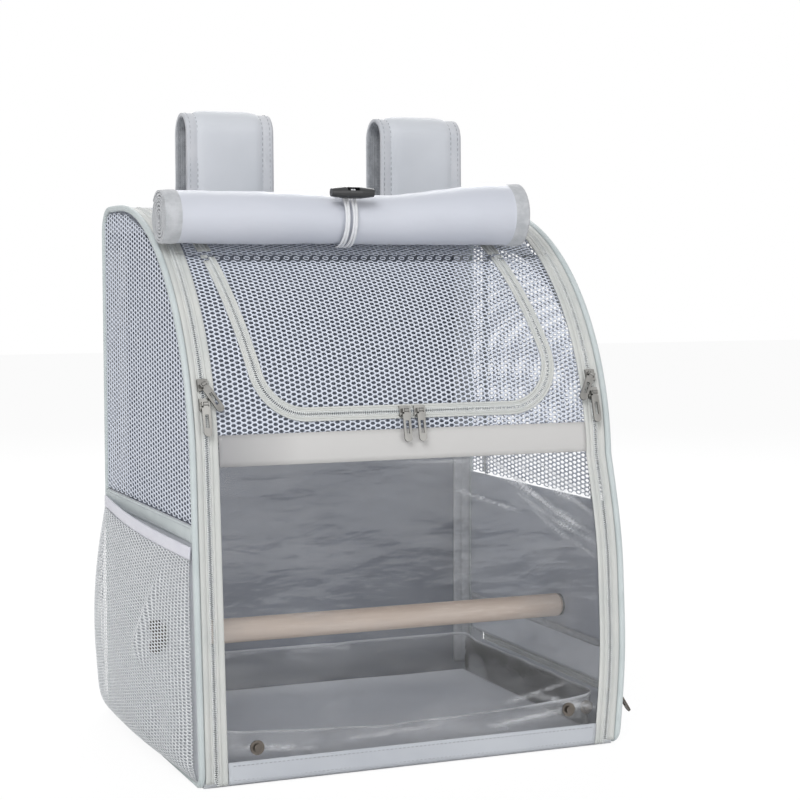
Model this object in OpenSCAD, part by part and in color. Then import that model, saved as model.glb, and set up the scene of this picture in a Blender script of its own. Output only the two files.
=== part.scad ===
// Bird travel carrier worn as a backpack, standing on its base.
// X runs across the bag, Y from the front to the back, Z up. The origin is on
// the floor under the middle of the bag. All sizes are in millimetres.

/* [Bag body] */
// Width of the bag over its edge piping
body_w = 345; // [300:1:380]
// Depth of the bag at the floor, over its edge piping
body_d = 280; // [240:1:320]
// Radius of the edge piping bead
bead_r = 2.5; // [1.5:0.1:4]
// Lean of the straight lower front, in degrees from upright
lean = 4; // [0:0.5:8]
// Height at which the straight front turns into the arc
arc_start = 233; // [200:1:260]
// Radius of the arc that carries the front over to the flat top
arc_r = 207; // [180:1:230]
// Corner radius where the top meets the back
top_corner_r = 20; // [14:1:30]
// Corner radius where the base meets the back
base_corner_r = 12; // [8:1:20]
// Corner radius where the base meets the front
front_corner_r = 8; // [6:1:14]
// Thickness of the sewn base with the board inside it
base_t = 6; // [4:0.5:10]
// Height of the lower side panels
side_panel_h = 190; // [150:1:220]

/* [Zips] */
// Width of the closed coil of a zip
coil_w = 4.4; // [3.5:0.1:6]
// Thickness of the coil across its tape
coil_t = 2.8; // [2:0.1:4]
// Width of the outer tape of each long front zip
edge_tape_w = 6.2; // [4:0.1:9]
// Width of the inner tape and binding of each long front zip
door_tape_w = 6.9; // [4:0.1:9]
// Width of each tape on the smaller zips
small_tape_w = 3.3; // [2:0.1:6]
// Gap between the two halves of a coil
coil_gap = 0.6; // [0.2:0.05:0.8]
// Thickness of a zip tape
tape_t = 1.4; // [0.8:0.1:2]

/* [Front panel] */
// Height of the top of the stitched strip along the base
base_strip_top = 18; // [12:1:30]
// Bottom of the strip between the window and the mesh
divider_z0 = 232; // [200:1:250]
// Top of the strip between the window and the mesh
divider_z1 = 255; // [240:1:280]
// Angle on the arc at which the front panel ends under the roll
door_top_a = 54.5; // [45:0.5:56]
// Thickness of the clear window sheet
window_t = 0.8; // [0.4:0.1:1.5]
// Thickness of the mesh cloth
mesh_t = 1.2; // [0.8:0.1:2]
// Columns of openings across a mesh wall
net_columns = 12; // [6:1:12]
// Width of the cloth left between two openings
net_thread = 3; // [2:0.5:6]

/* [Front hatch] */
// Height of the lower run of the hatch zip
hatch_z = 268; // [262:1:300]
// Left side of the hatch at its lower corner
hatch_x0 = -118; // [-130:1:-90]
// Right side of the hatch at its lower corner
hatch_x1 = 125; // [90:1:135]
// Corner radius of the hatch zip
hatch_r = 38; // [20:1:50]
// Lean of the hatch's sides towards the left, in degrees
hatch_lean = 10; // [0:0.5:14]
// Angle on the arc of the hatch's seam
hatch_top_a = 53; // [45:0.5:54]

/* [Side door] */
// Inset of the side door's zip from the bag's edge
arch_inset = 28; // [20:1:50]
// Back corner radius of the side door's zip
arch_corner_r = 22; // [12:1:24]

/* [Rolled cover] */
// Radius of the rolled rain cover
roll_r = 22; // [16:0.5:24]
// Angle on the arc at which the roll lies
roll_a = 57.5; // [57:0.5:62]
// Left end of the roll
roll_x0 = -171; // [-175:1:-140]
// Right end of the roll
roll_x1 = 130; // [120:1:172]
// Thickness of one turn of the rolled cloth
roll_layer = 2.6; // [1.5:0.1:4]
// Middle of the elastic loops that hold the roll
cinch_x = -23; // [-40:0.5:20]
// Radius of the elastic cord
cord_r = 1.2; // [0.8:0.1:2]
// Length of the toggle bar
toggle_l = 35; // [25:1:45]

/* [Perch] */
// Radius of the perch
perch_r = 9.5; // [6:0.5:14]
// Distance of the perch from the front edge of the base
perch_y = 97; // [80:1:150]
// Height of the perch
perch_z = 96; // [80:1:150]
// Radius of the perch bolts
bolt_r = 3; // [2.5:0.5:4]
// Radial clearance of the wing nuts on the bolts
nut_clear = 0.06; // [0.02:0.01:0.1]
// Span of a wing nut
nut_span = 27; // [22:1:34]

/* [Straps and handle] */
// Width of a shoulder strap
strap_w = 78; // [60:1:90]
// Thickness of a shoulder strap
strap_t = 8; // [5:0.5:14]
// Distance of each shoulder strap's middle from the middle of the bag
strap_x = 85; // [70:1:100]
// Height of the middle of the strap loop's bend
strap_z = 486; // [460:1:500]
// Width of the carry handle's webbing
handle_w = 25; // [20:1:32]
// Length of the carry handle between its seams
handle_l = 120; // [90:1:160]

/* [Pocket and tray] */
// Largest bulge of the left mesh pocket
pocket_bulge = 22; // [10:1:30]
// Gap that the pocket's mouth leaves at its middle
mouth_gap = 8; // [5:0.5:14]
// Height of the pocket's elastic hem
hem_h = 9.5; // [7:0.5:14]
// Height of the pocket's rim at the front
pocket_top = 165.5; // [140:0.5:168]
// Height of the walls of the clear tray liner
tray_h = 37; // [25:1:45]
// Height of the pull-out flap's zip
flap_zip_z = 42; // [38:1:60]

/* [Hidden] */
$fn = 64;
eps = 0.01;
half_w = body_w / 2;
bead_x = half_w - bead_r;
front_y = -body_d / 2 + bead_r;
back_y = body_d / 2 - bead_r;
ay = front_y + arc_start * tan(lean) + arc_r * cos(lean);
az = arc_start - arc_r * sin(lean);
top_z = az + arc_r;
ctop = [back_y - top_corner_r, top_z - top_corner_r];
cbase = [back_y - base_corner_r, bead_r + base_corner_r];
cfront = [front_y + (bead_r + front_corner_r) * tan(lean) + front_corner_r / cos(lean), bead_r + front_corner_r];
lean_n = [-cos(lean), sin(lean)];
tape_in = tape_t / 2;
coil_x = bead_x - bead_r - edge_tape_w - coil_w / 2;
door_x = coil_x - coil_w / 2 - door_tape_w;
panel_x = door_x + 3;
half_coil = coil_w / 2;
half_gap = coil_gap / 2;
wall_in = bead_x - 1.5;
wall_out = bead_x + 1.1;
mesh_in = bead_x - 0.3;
mesh_out = mesh_in + mesh_t;
door_top_z = az + arc_r * sin(door_top_a);
hatch_top_z = az + arc_r * sin(hatch_top_a);
roll_d = arc_r + bead_r + roll_r + 0.8;
roll_c = [ay - roll_d * cos(roll_a), az + roll_d * sin(roll_a)];
perch_c = [perch_y - body_d / 2, perch_z];
cover_a = 62.5;
side_end_a = 85;
far = body_w + body_d;
front_reach = ay - 25;
pad_hx = half_w - 22.5;
pad_z0 = 40;
pad_z1 = ctop[1] - 15.5;
pad_t = 6;
pad_groove = 24;
seam_w = 9;
seam_t = 1.6;
skirt_hy = body_d / 2 - 12;
skirt_h = 32;
flap_y0 = front_y + 8;
flap_y1 = back_y - 25.5;
pocket_n = 18;
pocket_m = 14;
pocket_z0 = 4;
pocket_rise = 9.5;
pocket_edge = 1.4;
roll_turns = 5.5;
roll_cloth = roll_layer - 0.5;
roll_seat = arc_r + tape_in + 0.06;
tab_top = roll_seat + 1.4;
tab_a0 = cover_a + 1.2;
tab_a1 = cover_a + 4.5;
tab_p = [ay - tab_top * cos(tab_a0), az + tab_top * sin(tab_a0)];
tail_a = atan2(tab_p[1] - roll_c[1], tab_p[0] - roll_c[0]) + acos(roll_r / norm(tab_p - roll_c));
tail_n = [cos(tail_a), sin(tail_a)];
tail_d = [sin(tail_a), -cos(tail_a)];
toggle_a = 42;
toggle_d = roll_r + 2 * cord_r + 0.5 + 4.9;
loop_x = 3.2;
handle_a = 74.6;
handle_rise = 13;
handle_t = 2.4;
handle_tab = 14;
handle_ramp = 9;
strap_front = ay - 27.3;
strap_bend = 16;
strap_taper = 16;
strap_back = back_y + 12.5;
strap_end = pad_z0 + 110;
webbing_w = 25;
webbing_x = bead_x - 22;
webbing_z = pad_z0 / 2;
tray_hx = wall_in - 10.5;
tray_y0 = front_y + 11.5;
tray_y1 = back_y - 11.5;
tray_wall = 1.2;
tray_snap_x = tray_hx - 9;
snap_left = [-panel_x + 25.5, 27];
snap_right = [panel_x - 24.5, 31];
slider_top = coil_t / 2 + 0.3;
pin_y = -slider_top - 1.3 - 1.7;
upper_a = 20.4;
lower_a = 16.4;
upper_turn = 30;
hatch_a = asin((hatch_z - az) / arc_r);
hatch_gap = 6;
hatch_mid = 3;
tray_slider_y = flap_y0 + 6;
tray_pull_tilt = 32;
net_rim = 6;
buckle_w = webbing_w + 9;
buckle_l = 28;
buckle_drop = 18;
webbing_turn = atan2(webbing_x - strap_x, strap_end - webbing_z);
arch_a = asin((side_panel_h + 46.5 - az) / (arc_r - arch_inset));

// Helpers: outlines in the side view, first axis Y, second axis Z

// Turns a side view outline into a slab from x0 to x1.
module across(x0, x1) {
    translate([x0, 0, 0])
        rotate([90, 0, 90])
            linear_extrude(x1 - x0)
                children();
}

// Turns a front view outline, first axis X, second axis Z, into a slab along Y.
module through(y0, y1) {
    translate([0, y1, 0])
        rotate([90, 0, 0])
            linear_extrude(y1 - y0)
                children();
}

// Points on an arc with centre c and radius r from angle a0 to a1 in n steps.
function arc_points(c, r, a0, a1, n) =
    [for (i = [0:n]) let (a = a0 + (a1 - a0) * i / n) c + r * [cos(a), sin(a)]];

// Points of the big front arc at the radius r, from the straight to the top.
function front_arc(r) = arc_points([ay, az], r, 180 - lean, 90, 36);

// Side view of the bag, inset by o from the middle line of the piping.
module side_outline(o) {
    polygon(concat(arc_points(cfront, front_corner_r - o, 270, 180 - lean, 6),
                   front_arc(arc_r - o),
                   arc_points(ctop, top_corner_r - o, 90, 0, 9),
                   arc_points(cbase, base_corner_r - o, 0, -90, 6)));
}

// Sector of the side view between two angles on the arc, 0 at the front.
module wedge(a0, a1) {
    am = (a0 + a1) / 2;
    reach = arc_r * 1.6;
    polygon([[ay, az],
             [ay - reach * cos(a0), az + reach * sin(a0)],
             [ay - reach * cos(am), az + reach * sin(am)],
             [ay - reach * cos(a1), az + reach * sin(a1)]]);
}

// Front skin between two insets, from the floor to the angle a1 on the arc.
module front_skin(o0, o1, a1) {
    lo0 = (az + (arc_r - o0) * sin(lean) + 2) / cos(lean);
    lo1 = (az + (arc_r - o1) * sin(lean) + 2) / cos(lean);
    down = [-sin(lean), -cos(lean)];
    outer = front_arc(arc_r - o0);
    inner = front_arc(arc_r - o1);
    intersection() {
        polygon(concat([outer[0] + lo0 * down], outer,
                       [for (i = [36:-1:0]) inner[i]], [inner[0] + lo1 * down]));
        union() {
            wedge(-2, a1);
            translate([-far, -5])
                square([far + ay - 20, az + 5]);
        }
    }
}

// Horizontal band of the side view between two heights.
module level(z0, z1) {
    translate([-far, z0])
        square([2 * far, z1 - z0]);
}

// Outline of the closed bag skin between two insets.
module full_skin(o0, o1) {
    difference() {
        side_outline(o0);
        side_outline(o1);
    }
}

// Frame of reference on the arc: x, angle a; outwards is -Y and up is +Z.
module on_arc(x, a) {
    translate([x, ay, az])
        rotate([-a, 0, 0])
            translate([0, -arc_r, 0])
                children();
}

// Frame of reference on the straight front at the height z.
module on_front(x, z) {
    translate([x, front_y + z * tan(lean), z])
        rotate([-lean, 0, 0])
            children();
}

// Hatch outline in the front view, grown by g from the middle of its coil.
module hatch_outline(g) {
    cl = [hatch_x0 + hatch_r, hatch_z + hatch_r];
    cr = [hatch_x1 - hatch_r, hatch_z + hatch_r];
    left = arc_points(cl, hatch_r + g, 180 + hatch_lean, 270, 12);
    right = arc_points(cr, hatch_r + g, 270, 360 + hatch_lean, 14);
    up = arc_r * [-sin(hatch_lean), cos(hatch_lean)];
    polygon(concat([left[0] + up], left, right, [right[14] + up]));
}

// Side door outline in the side view, grown by g from the middle of its coil.
module arch_outline(g) {
    ar = arc_r - arch_inset;
    back = back_y - arch_inset;
    cc = [back - arch_corner_r, az + ar - arch_corner_r];
    front = front_arc(ar + g);
    intersection() {
        polygon(concat([front[0] + far * [-sin(lean), -cos(lean)]], front,
                       arc_points(cc, arch_corner_r + g, 90, 0, 12), [[back + g, 0]]));
        level(side_panel_h - 1, far);
    }
}

// Bag shell

module base_panel() {
    color([0.62, 0.64, 0.66])
        translate([-bead_x + bead_r, front_y + 4, 0])
            cube([2 * (bead_x - bead_r), cbase[0] - front_y - 4.2, base_t]);
}

module back_panel() {
    color([0.78, 0.79, 0.81])
        across(-bead_x + bead_r, bead_x - bead_r)
            intersection() {
                full_skin(-1, 1);
                translate([cbase[0], 0])
                    square([far, ctop[1]]);
            }
}

module back_pad() {
    color([0.55, 0.57, 0.6])
        difference() {
            translate([-pad_hx, back_y + 1, pad_z0])
                cube([2 * pad_hx, pad_t, pad_z1 - pad_z0]);
            translate([-pad_groove / 2, back_y + 1 + pad_t / 2, pad_z0 - 1])
                cube([pad_groove, pad_t, pad_z1 - pad_z0 + 2]);
        }
}

module corner_bindings() {
    color([0.82, 0.83, 0.84])
        for (s = [-1, 1])
            translate([s * (wall_in - 5.8) - seam_w / 2, back_y - 1 - seam_t, cbase[1]])
                cube([seam_w, seam_t, ctop[1] - 13.5 - cbase[1]]);
}

module top_panel() {
    color([0.8, 0.81, 0.83])
        difference() {
            across(-bead_x + bead_r, bead_x - bead_r)
                intersection() {
                    full_skin(-tape_in, tape_in);
                    union() {
                        wedge(cover_a, 90);
                        translate([ay - 1, ctop[1]])
                            square([back_y - ay + 5, far]);
                    }
                }
            for (s = [-1, 1])
                both_across(s, door_x, bead_x)
                    wedge(cover_a - 1, side_end_a + 0.2);
        }
}

module top_mesh_strip() {
    color([0.72, 0.75, 0.8])
        across(-panel_x, panel_x)
            intersection() {
                front_skin(tape_in, tape_in + mesh_t, cover_a + 1.5);
                level(door_top_z + 0.5, far);
            }
}

// Piping of both sides: a bead with stepped flanks around each side panel.
module edge_piping() {
    color([0.72, 0.76, 0.76])
        for (s = [-1, 1]) {
            both_across(s, bead_x - bead_r / 2, bead_x + bead_r / 2)
                full_skin(-bead_r, bead_r);
            both_across(s, bead_x - bead_r, bead_x + bead_r)
                full_skin(-bead_r / 2, bead_r / 2);
        }
}

// Slab across the bag on one side: s is the side, x0 and x1 are distances.
module both_across(s, x0, x1) {
    if (s > 0)
        across(x0, x1)
            children();
    else
        across(-x1, -x0)
            children();
}

module frame_zip_halves() {
    color([0.88, 0.89, 0.88])
        for (s = [-1, 1]) {
            both_across(s, coil_x + half_coil, bead_x - bead_r)
                intersection() {
                    front_skin(-tape_in, tape_in, side_end_a);
                    level(4, far);
                }
            both_across(s, coil_x + half_gap, coil_x + half_coil)
                intersection() {
                    front_skin(-coil_t / 2, coil_t / 2, side_end_a);
                    level(4, far);
                }
            both_across(s, door_x, coil_x - half_coil)
                intersection() {
                    front_skin(-tape_in, tape_in, side_end_a);
                    level(door_top_z + 0.5, far);
                }
            both_across(s, coil_x - half_coil, coil_x - half_gap)
                intersection() {
                    front_skin(-coil_t / 2, coil_t / 2, side_end_a);
                    level(door_top_z + 0.5, far);
                }
        }
}

module side_hole() {
    translate(perch_c)
        circle(bolt_r + 0.2);
}

// Six-sided openings in staggered columns over a rectangle of the side view.
module wall_net(y0, y1, z0, z1) {
    pitch = (y1 - y0) / net_columns;
    rise = pitch * 2 / sqrt(3);
    for (i = [0:net_columns - 1])
        for (j = [0:ceil((z1 - z0) / rise)])
            translate([y0 + (i + 0.5) * pitch, z0 + (j + (i % 2) / 2) * rise])
                circle((rise - net_thread) / sqrt(3), $fn = 6);
}

// The same openings over the front arc, in the front view, from the angle a0.
module arc_net(x0, x1, a0, a1) {
    pitch = (x1 - x0) / net_columns;
    rise = pitch * 2 / sqrt(3);
    step = rise / arc_r * 180 / PI;
    r = (rise - net_thread) / sqrt(3);
    for (i = [0:net_columns - 1])
        for (j = [0:ceil((a1 - a0) / step)])
            polygon([for (k = [0:5])
                         let (a = a0 + (j + (i % 2) / 2) * step + r * sin(60 * k) / arc_r * 180 / PI)
                         [x0 + (i + 0.5) * pitch + r * cos(60 * k), az + arc_r * sin(a)]]);
}

module left_side_mesh() {
    color([0.74, 0.77, 0.82])
        across(-mesh_out, -mesh_in)
            difference() {
                intersection() {
                    side_outline(bead_r);
                    level(side_panel_h + 0.2, far);
                }
                intersection() {
                    side_outline(bead_r + net_rim);
                    level(side_panel_h + net_rim, far);
                    wall_net(front_y, back_y, side_panel_h, top_z);
                }
            }
}

module left_lower_panel() {
    color([0.8, 0.81, 0.83])
        across(-wall_out, -wall_in)
            difference() {
                intersection() {
                    side_outline(bead_r);
                    level(0, side_panel_h);
                }
                side_hole();
            }
}

module right_mesh_surround() {
    color([0.74, 0.77, 0.82])
        across(mesh_in, mesh_out)
            difference() {
                intersection() {
                    side_outline(bead_r);
                    level(side_panel_h + 0.2, far);
                }
                arch_outline(half_coil + 1.6);
            }
}

module right_lower_panel() {
    color([0.8, 0.81, 0.83])
        across(wall_in, wall_out)
            difference() {
                intersection() {
                    side_outline(bead_r);
                    level(0, side_panel_h);
                }
                side_hole();
                translate([flap_y0 - 0.4, base_t])
                    square([flap_y1 - flap_y0 + 0.8, flap_zip_z + half_coil + 1.5 - base_t]);
            }
}

module side_bindings() {
    color([0.72, 0.76, 0.76])
        for (s = [-1, 1])
            both_across(s, wall_out, wall_out + 1)
                intersection() {
                    side_outline(bead_r);
                    level(side_panel_h - 12, side_panel_h);
                }
}

module inner_skirts() {
    color([0.7, 0.71, 0.73])
        for (s = [-1, 1])
            both_across(s, wall_in - 1.4, wall_in)
                translate([-skirt_hy, flap_zip_z + 4])
                    square([2 * skirt_hy, skirt_h]);
}

// Tape and coil around the side door: g1 is the coil's edge away from the
// slit, g0 the tape's far edge, g2 the edge at the slit, z0 the lower end.
module arch_half(g0, g1, g2, z0) {
    across(mesh_out, mesh_out + tape_t)
        intersection() {
            difference() {
                arch_outline(max(g0, g2));
                arch_outline(min(g0, g2));
            }
            level(z0, far);
        }
    across(mesh_out + 0.4, mesh_out + 2.2)
        intersection() {
            difference() {
                arch_outline(max(g1, g2));
                arch_outline(min(g1, g2));
            }
            level(z0, far);
        }
}

module side_zip_outer() {
    color([0.88, 0.89, 0.88]) {
        arch_half(half_coil + small_tape_w, half_coil, half_gap, side_panel_h + 0.3);
        across(wall_out, wall_out + tape_t)
            translate([flap_y0, flap_zip_z + half_gap])
                square([flap_y1 - flap_y0, small_tape_w + half_coil - half_gap]);
        across(wall_out - 0.6, wall_out + 2.2)
            translate([flap_y0, flap_zip_z + half_gap])
                square([flap_y1 - flap_y0, half_coil - half_gap]);
    }
}

// Left pocket: a bulging sheet that leaves the seam at the base and at both
// sides and ends in a straight elastic hem

function hem_z(u) = pocket_top + pocket_rise * u;
function pocket_y(u, z) = (front_y + z * tan(lean) + 3.6) * (1 - u) + (back_y - 3.2) * u;
function mouth_depth(u) = pocket_edge + (mouth_gap - pocket_edge) * sin(180 * u);
function pocket_depth(u, v) =
    pocket_bulge * pow(sin(180 * u), 0.55) * pow(sin(15 + 165 * v), 0.6) * (0.75 + 0.4 * u)
    * (1 - pow(1 - v, 24))
    + pocket_edge + (mouth_depth(u) - pocket_edge) * pow(v, 4) - pocket_edge * pow(1 - v, 24);
function pocket_point(i, j, t) =
    let (u = i / pocket_n, v = pow(j / pocket_m, 1.5), z = pocket_z0 + (hem_z(u) - pocket_z0) * v)
    [-wall_out - max(pocket_depth(u, v), 0.05) - t, pocket_y(u, z), z];
function pocket_index(i, j) = i * (pocket_m + 1) + j;

module left_pocket() {
    count = (pocket_n + 1) * (pocket_m + 1);
    outer = [for (i = [0:pocket_n]) for (j = [0:pocket_m]) pocket_point(i, j, mesh_t)];
    inner = [for (i = [0:pocket_n]) for (j = [0:pocket_m]) pocket_point(i, j, 0)];
    skin = [for (i = [0:pocket_n - 1]) for (j = [0:pocket_m - 1])
                for (f = [[pocket_index(i, j), pocket_index(i, j + 1), pocket_index(i + 1, j + 1)],
                          [pocket_index(i, j), pocket_index(i + 1, j + 1), pocket_index(i + 1, j)]]) f];
    back = [for (f = skin) [f[2] + count, f[1] + count, f[0] + count]];
    rim_u = [for (i = [0:pocket_n - 1]) for (j = [0, pocket_m])
                 let (a = pocket_index(i, j), b = pocket_index(i + 1, j))
                 for (f = j == 0 ? [[a, b, b + count], [a, b + count, a + count]]
                                 : [[b, a, a + count], [b, a + count, b + count]]) f];
    rim_v = [for (j = [0:pocket_m - 1]) for (i = [0, pocket_n])
                 let (a = pocket_index(i, j), b = pocket_index(i, j + 1))
                 for (f = i == 0 ? [[b, a, a + count], [b, a + count, b + count]]
                                 : [[a, b, b + count], [a, b + count, a + count]]) f];
    color([0.8, 0.82, 0.85])
        intersection() {
            polyhedron(points = concat(outer, inner), faces = concat(skin, back, rim_u, rim_v), convexity = 6);
            across(-body_w, 0)
                side_outline(bead_r + 0.3);
        }
}

module left_pocket_hem() {
    us = [for (i = [0:pocket_n]) i / pocket_n];
    in_edge = [for (u = us) [-wall_out - mouth_depth(u) + 0.3, pocket_y(u, hem_z(u))]];
    out_edge = [for (i = [pocket_n:-1:0]) in_edge[i] - [mesh_t + 0.6, 0]];
    color([0.85, 0.85, 0.87])
        intersection() {
            linear_extrude(pocket_top + pocket_rise + 2 * hem_h)
                polygon(concat(in_edge, out_edge));
            across(-body_w, 0)
                polygon([[in_edge[0][1], hem_z(0) + 0.05],
                         [in_edge[pocket_n][1], hem_z(1) + 0.05],
                         [in_edge[pocket_n][1], hem_z(1) + hem_h],
                         [in_edge[0][1], hem_z(0) + hem_h]]);
        }
}

// Rolled cover, its loops and the toggle

// Point on the spiral of the rolled cloth after the angle t, sunk by h.
function spiral_point(t, a, h) =
    let (r = roll_r - roll_layer * t / 360 - h)
    roll_c + r * [cos(a + t), sin(a + t)];

// Rolled cloth whose tail leaves along a tangent and lies down as a sewn tab.
module cover_roll() {
    m = roll_c + (roll_r - roll_cloth) * tail_n - [ay, az];
    q = m + (-m * tail_d - sqrt((m * tail_d) * (m * tail_d) - m * m + roll_seat * roll_seat)) * tail_d;
    n = 30 * roll_turns;
    color([0.8, 0.81, 0.84])
        difference() {
            across(roll_x0, roll_x1)
                polygon(concat(arc_points([ay, az], tab_top, 180 - tab_a1, 180 - tab_a0, 3),
                               [for (i = [0:n]) spiral_point(12 * i, tail_a, 0)],
                               [for (i = [n:-1:0]) spiral_point(12 * i, tail_a, roll_cloth)],
                               arc_points([ay, az], roll_seat, atan2(q[1], q[0]), 180 - tab_a1, 4)));
            for (s = [-1, 1])
                both_across(s, door_x - 0.4, body_w)
                    wedge(cover_a + 0.3, cover_a + 12);
        }
}

// Frame at the toggle: outwards from the roll is +Z.
module at_toggle() {
    translate([cinch_x, roll_c[0], roll_c[1]])
        rotate([90 - toggle_a, 0, 0])
            children();
}

module cinch_loops() {
    color([0.85, 0.85, 0.86]) {
        difference() {
            for (dx = [-loop_x, loop_x])
                translate([cinch_x + dx, roll_c[0], roll_c[1]])
                    rotate([0, 90, 0])
                        rotate_extrude($fn = 64)
                            translate([roll_r + cord_r + 0.2, 0])
                                circle(cord_r, $fn = 16);
            across(cinch_x - 3 * loop_x, cinch_x + 3 * loop_x)
                polygon([roll_c + (roll_r + 0.04) * tail_n - tail_d,
                         roll_c + (roll_r + 0.04) * tail_n + 0.85 * roll_r * tail_d,
                         roll_c + (roll_r - roll_cloth - 0.04) * tail_n + 0.85 * roll_r * tail_d,
                         roll_c + (roll_r - roll_cloth - 0.04) * tail_n - tail_d]);
        }
        at_toggle() {
            translate([-loop_x, 0, roll_r + cord_r + 0.2])
                rotate([0, 90, 0])
                    cylinder(r = cord_r - 0.1, h = 2 * loop_x, $fn = 16);
            translate([0, 0, roll_r + cord_r + 0.2])
                cylinder(r = cord_r, h = toggle_d - roll_r - cord_r + 3.6, $fn = 24);
        }
    }
}

module toggle() {
    color([0.07, 0.07, 0.08])
        at_toggle()
            translate([0, 0, toggle_d])
                difference() {
                    union() {
                        translate([-toggle_l / 2, 0, 0])
                            rotate([0, 90, 0])
                                cylinder(r1 = 3.2, r2 = 4.6, h = toggle_l / 2 - 7, $fn = 40);
                        translate([-7, 0, 0])
                            rotate([0, 90, 0])
                                cylinder(r = 4.6, h = 14, $fn = 40);
                        translate([7, 0, 0])
                            rotate([0, 90, 0])
                                cylinder(r1 = 4.6, r2 = 3.2, h = toggle_l / 2 - 7, $fn = 40);
                    }
                    translate([-5, -1.7, -6])
                        cube([10, 3.4, 12]);
                }
}

// Handle and straps

// Webbing band that lies on the top at both ends and stands up in the middle.
module carry_handle() {
    end = handle_l / 2 + handle_tab;
    grip = handle_l / 2 - handle_ramp;
    lay = tape_in + handle_t;
    under = handle_rise - handle_t;
    color([0.74, 0.75, 0.77])
        difference() {
            on_arc(0, handle_a)
                translate([0, 0, -handle_w / 2])
                    linear_extrude(handle_w)
                        polygon([[-end, 2], [-end, -lay], [-grip - handle_ramp, -lay],
                                 [-grip, -handle_rise], [grip, -handle_rise],
                                 [grip + handle_ramp, -lay], [end, -lay], [end, 2],
                                 [grip + handle_ramp - 1.4, 2], [grip + handle_ramp - 1.4, -tape_in],
                                 [grip - 1, -under], [1 - grip, -under],
                                 [1.4 - grip - handle_ramp, -tape_in], [1.4 - grip - handle_ramp, 2]]);
            across(-far, far)
                side_outline(-tape_in - 0.02);
        }
}

// Side view of a strap: up, over, down, back over the edge and down the back.
module strap_path() {
    h = strap_t / 2;
    r = strap_bend;
    fy = strap_front;
    hz = top_z + 5.4;
    by = strap_back;
    c1 = [fy + r, strap_z];
    c2 = [fy + 3 * r, hz + r];
    c3 = [by - r, hz - r];
    polygon(concat([[fy - h, top_z - 5.5]],
                   arc_points(c1, r + h, 180, 0, 16),
                   arc_points(c2, r - h, 180, 270, 8),
                   arc_points(c3, r + h, 90, 0, 8),
                   [[by + h, strap_end], [by - h, strap_end]],
                   arc_points(c3, r - h, 0, 90, 8),
                   arc_points(c2, r + h, 270, 180, 8),
                   arc_points(c1, r - h, 0, 180, 16),
                   [[fy + h, top_z - 5.5]]));
}

module shoulder_straps() {
    color([0.8, 0.81, 0.83])
        for (s = [-1, 1])
            difference() {
                translate([s * strap_x - strap_w / 2, 0, 0])
                    across(0, strap_w)
                        strap_path();
                across(-far, far)
                    side_outline(-tape_in - 0.02);
                through(back_y + 2, back_y + 40)
                    for (m = [-1, 1])
                        polygon([[s * strap_x + m * strap_taper, strap_end - 1],
                                 [s * strap_x + m * strap_w, strap_end - 1],
                                 [s * strap_x + m * strap_w, strap_end + 50],
                                 [s * strap_x + m * (strap_w / 2 + 0.01), strap_end + 50]]);
            }
}

module strap_webbing() {
    color([0.7, 0.71, 0.73])
        for (s = [-1, 1]) {
            through(strap_back - 0.9, strap_back + 0.9)
                polygon([[s * strap_x - webbing_w / 2, strap_end],
                         [s * strap_x + webbing_w / 2, strap_end],
                         [s * webbing_x + webbing_w / 2, webbing_z],
                         [s * webbing_x - webbing_w / 2, webbing_z]]);
            translate([s * webbing_x - webbing_w / 2, back_y + 1, webbing_z])
                cube([webbing_w, strap_back - 0.5 - back_y - 1, 16]);
        }
}

// Ladder buckles on the webbing below each strap: two rails and three bars,
// with the webbing behind the outer bars and in front of the middle one.
module strap_buckles() {
    color([0.1, 0.1, 0.11])
        for (s = [-1, 1])
            translate([s * strap_x, strap_back, strap_end])
                rotate([0, -s * webbing_turn, 0])
                    translate([0, 0, -buckle_drop - 4])
                        for (m = [-1, 1]) {
                            translate([m * (buckle_w / 2 - 2) - 2, -2.8, -buckle_l / 2])
                                cube([4, 5.8, buckle_l]);
                            translate([-buckle_w / 2, 1.1, m * (buckle_l / 2 - 2.5) - 2.5])
                                cube([buckle_w, 2.4, 5]);
                            translate([-buckle_w / 2, -3.5, -2.5])
                                cube([buckle_w, 2.4, 5]);
                        }
}

// Perch and its fasteners

module perch() {
    color([0.86, 0.76, 0.66])
        translate([0, perch_c[0], perch_c[1]])
            rotate([0, 90, 0])
                difference() {
                    union() {
                        cylinder(r = perch_r, h = 2 * (wall_in - 3.4), center = true);
                        for (m = [0, 180])
                            rotate([m, 0, 0])
                                translate([0, 0, wall_in - 3.4])
                                    cylinder(r1 = perch_r, r2 = perch_r - 1.6, h = 2.2);
                    }
                    for (m = [0, 180])
                        rotate([m, 0, 0])
                            translate([0, 0, wall_in - 22])
                                cylinder(r = bolt_r + 0.02, h = 40, $fn = 32);
                }
}

module perch_bolts() {
    color([0.7, 0.71, 0.73])
        for (s = [-1, 1])
            translate([s * (wall_in - 21.8), perch_c[0], perch_c[1]])
                rotate([0, s * 90, 0])
                    cylinder(r = bolt_r, h = 34, $fn = 32);
}

module ring(r0, r1, h) {
    difference() {
        cylinder(r = r1, h = h, $fn = 40);
        translate([0, 0, -1])
            cylinder(r = r0, h = h + 2, $fn = 40);
    }
}

module perch_washers() {
    color([0.75, 0.76, 0.78])
        for (s = [-1, 1])
            translate([0, perch_c[0], perch_c[1]])
                rotate([0, s * 90, 0]) {
                    translate([0, 0, wall_out])
                        ring(bolt_r + 0.1, 9, 1.2);
                    translate([0, 0, wall_in - 1.2])
                        ring(bolt_r + 0.1, 9, 1.2);
                }
}

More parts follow.
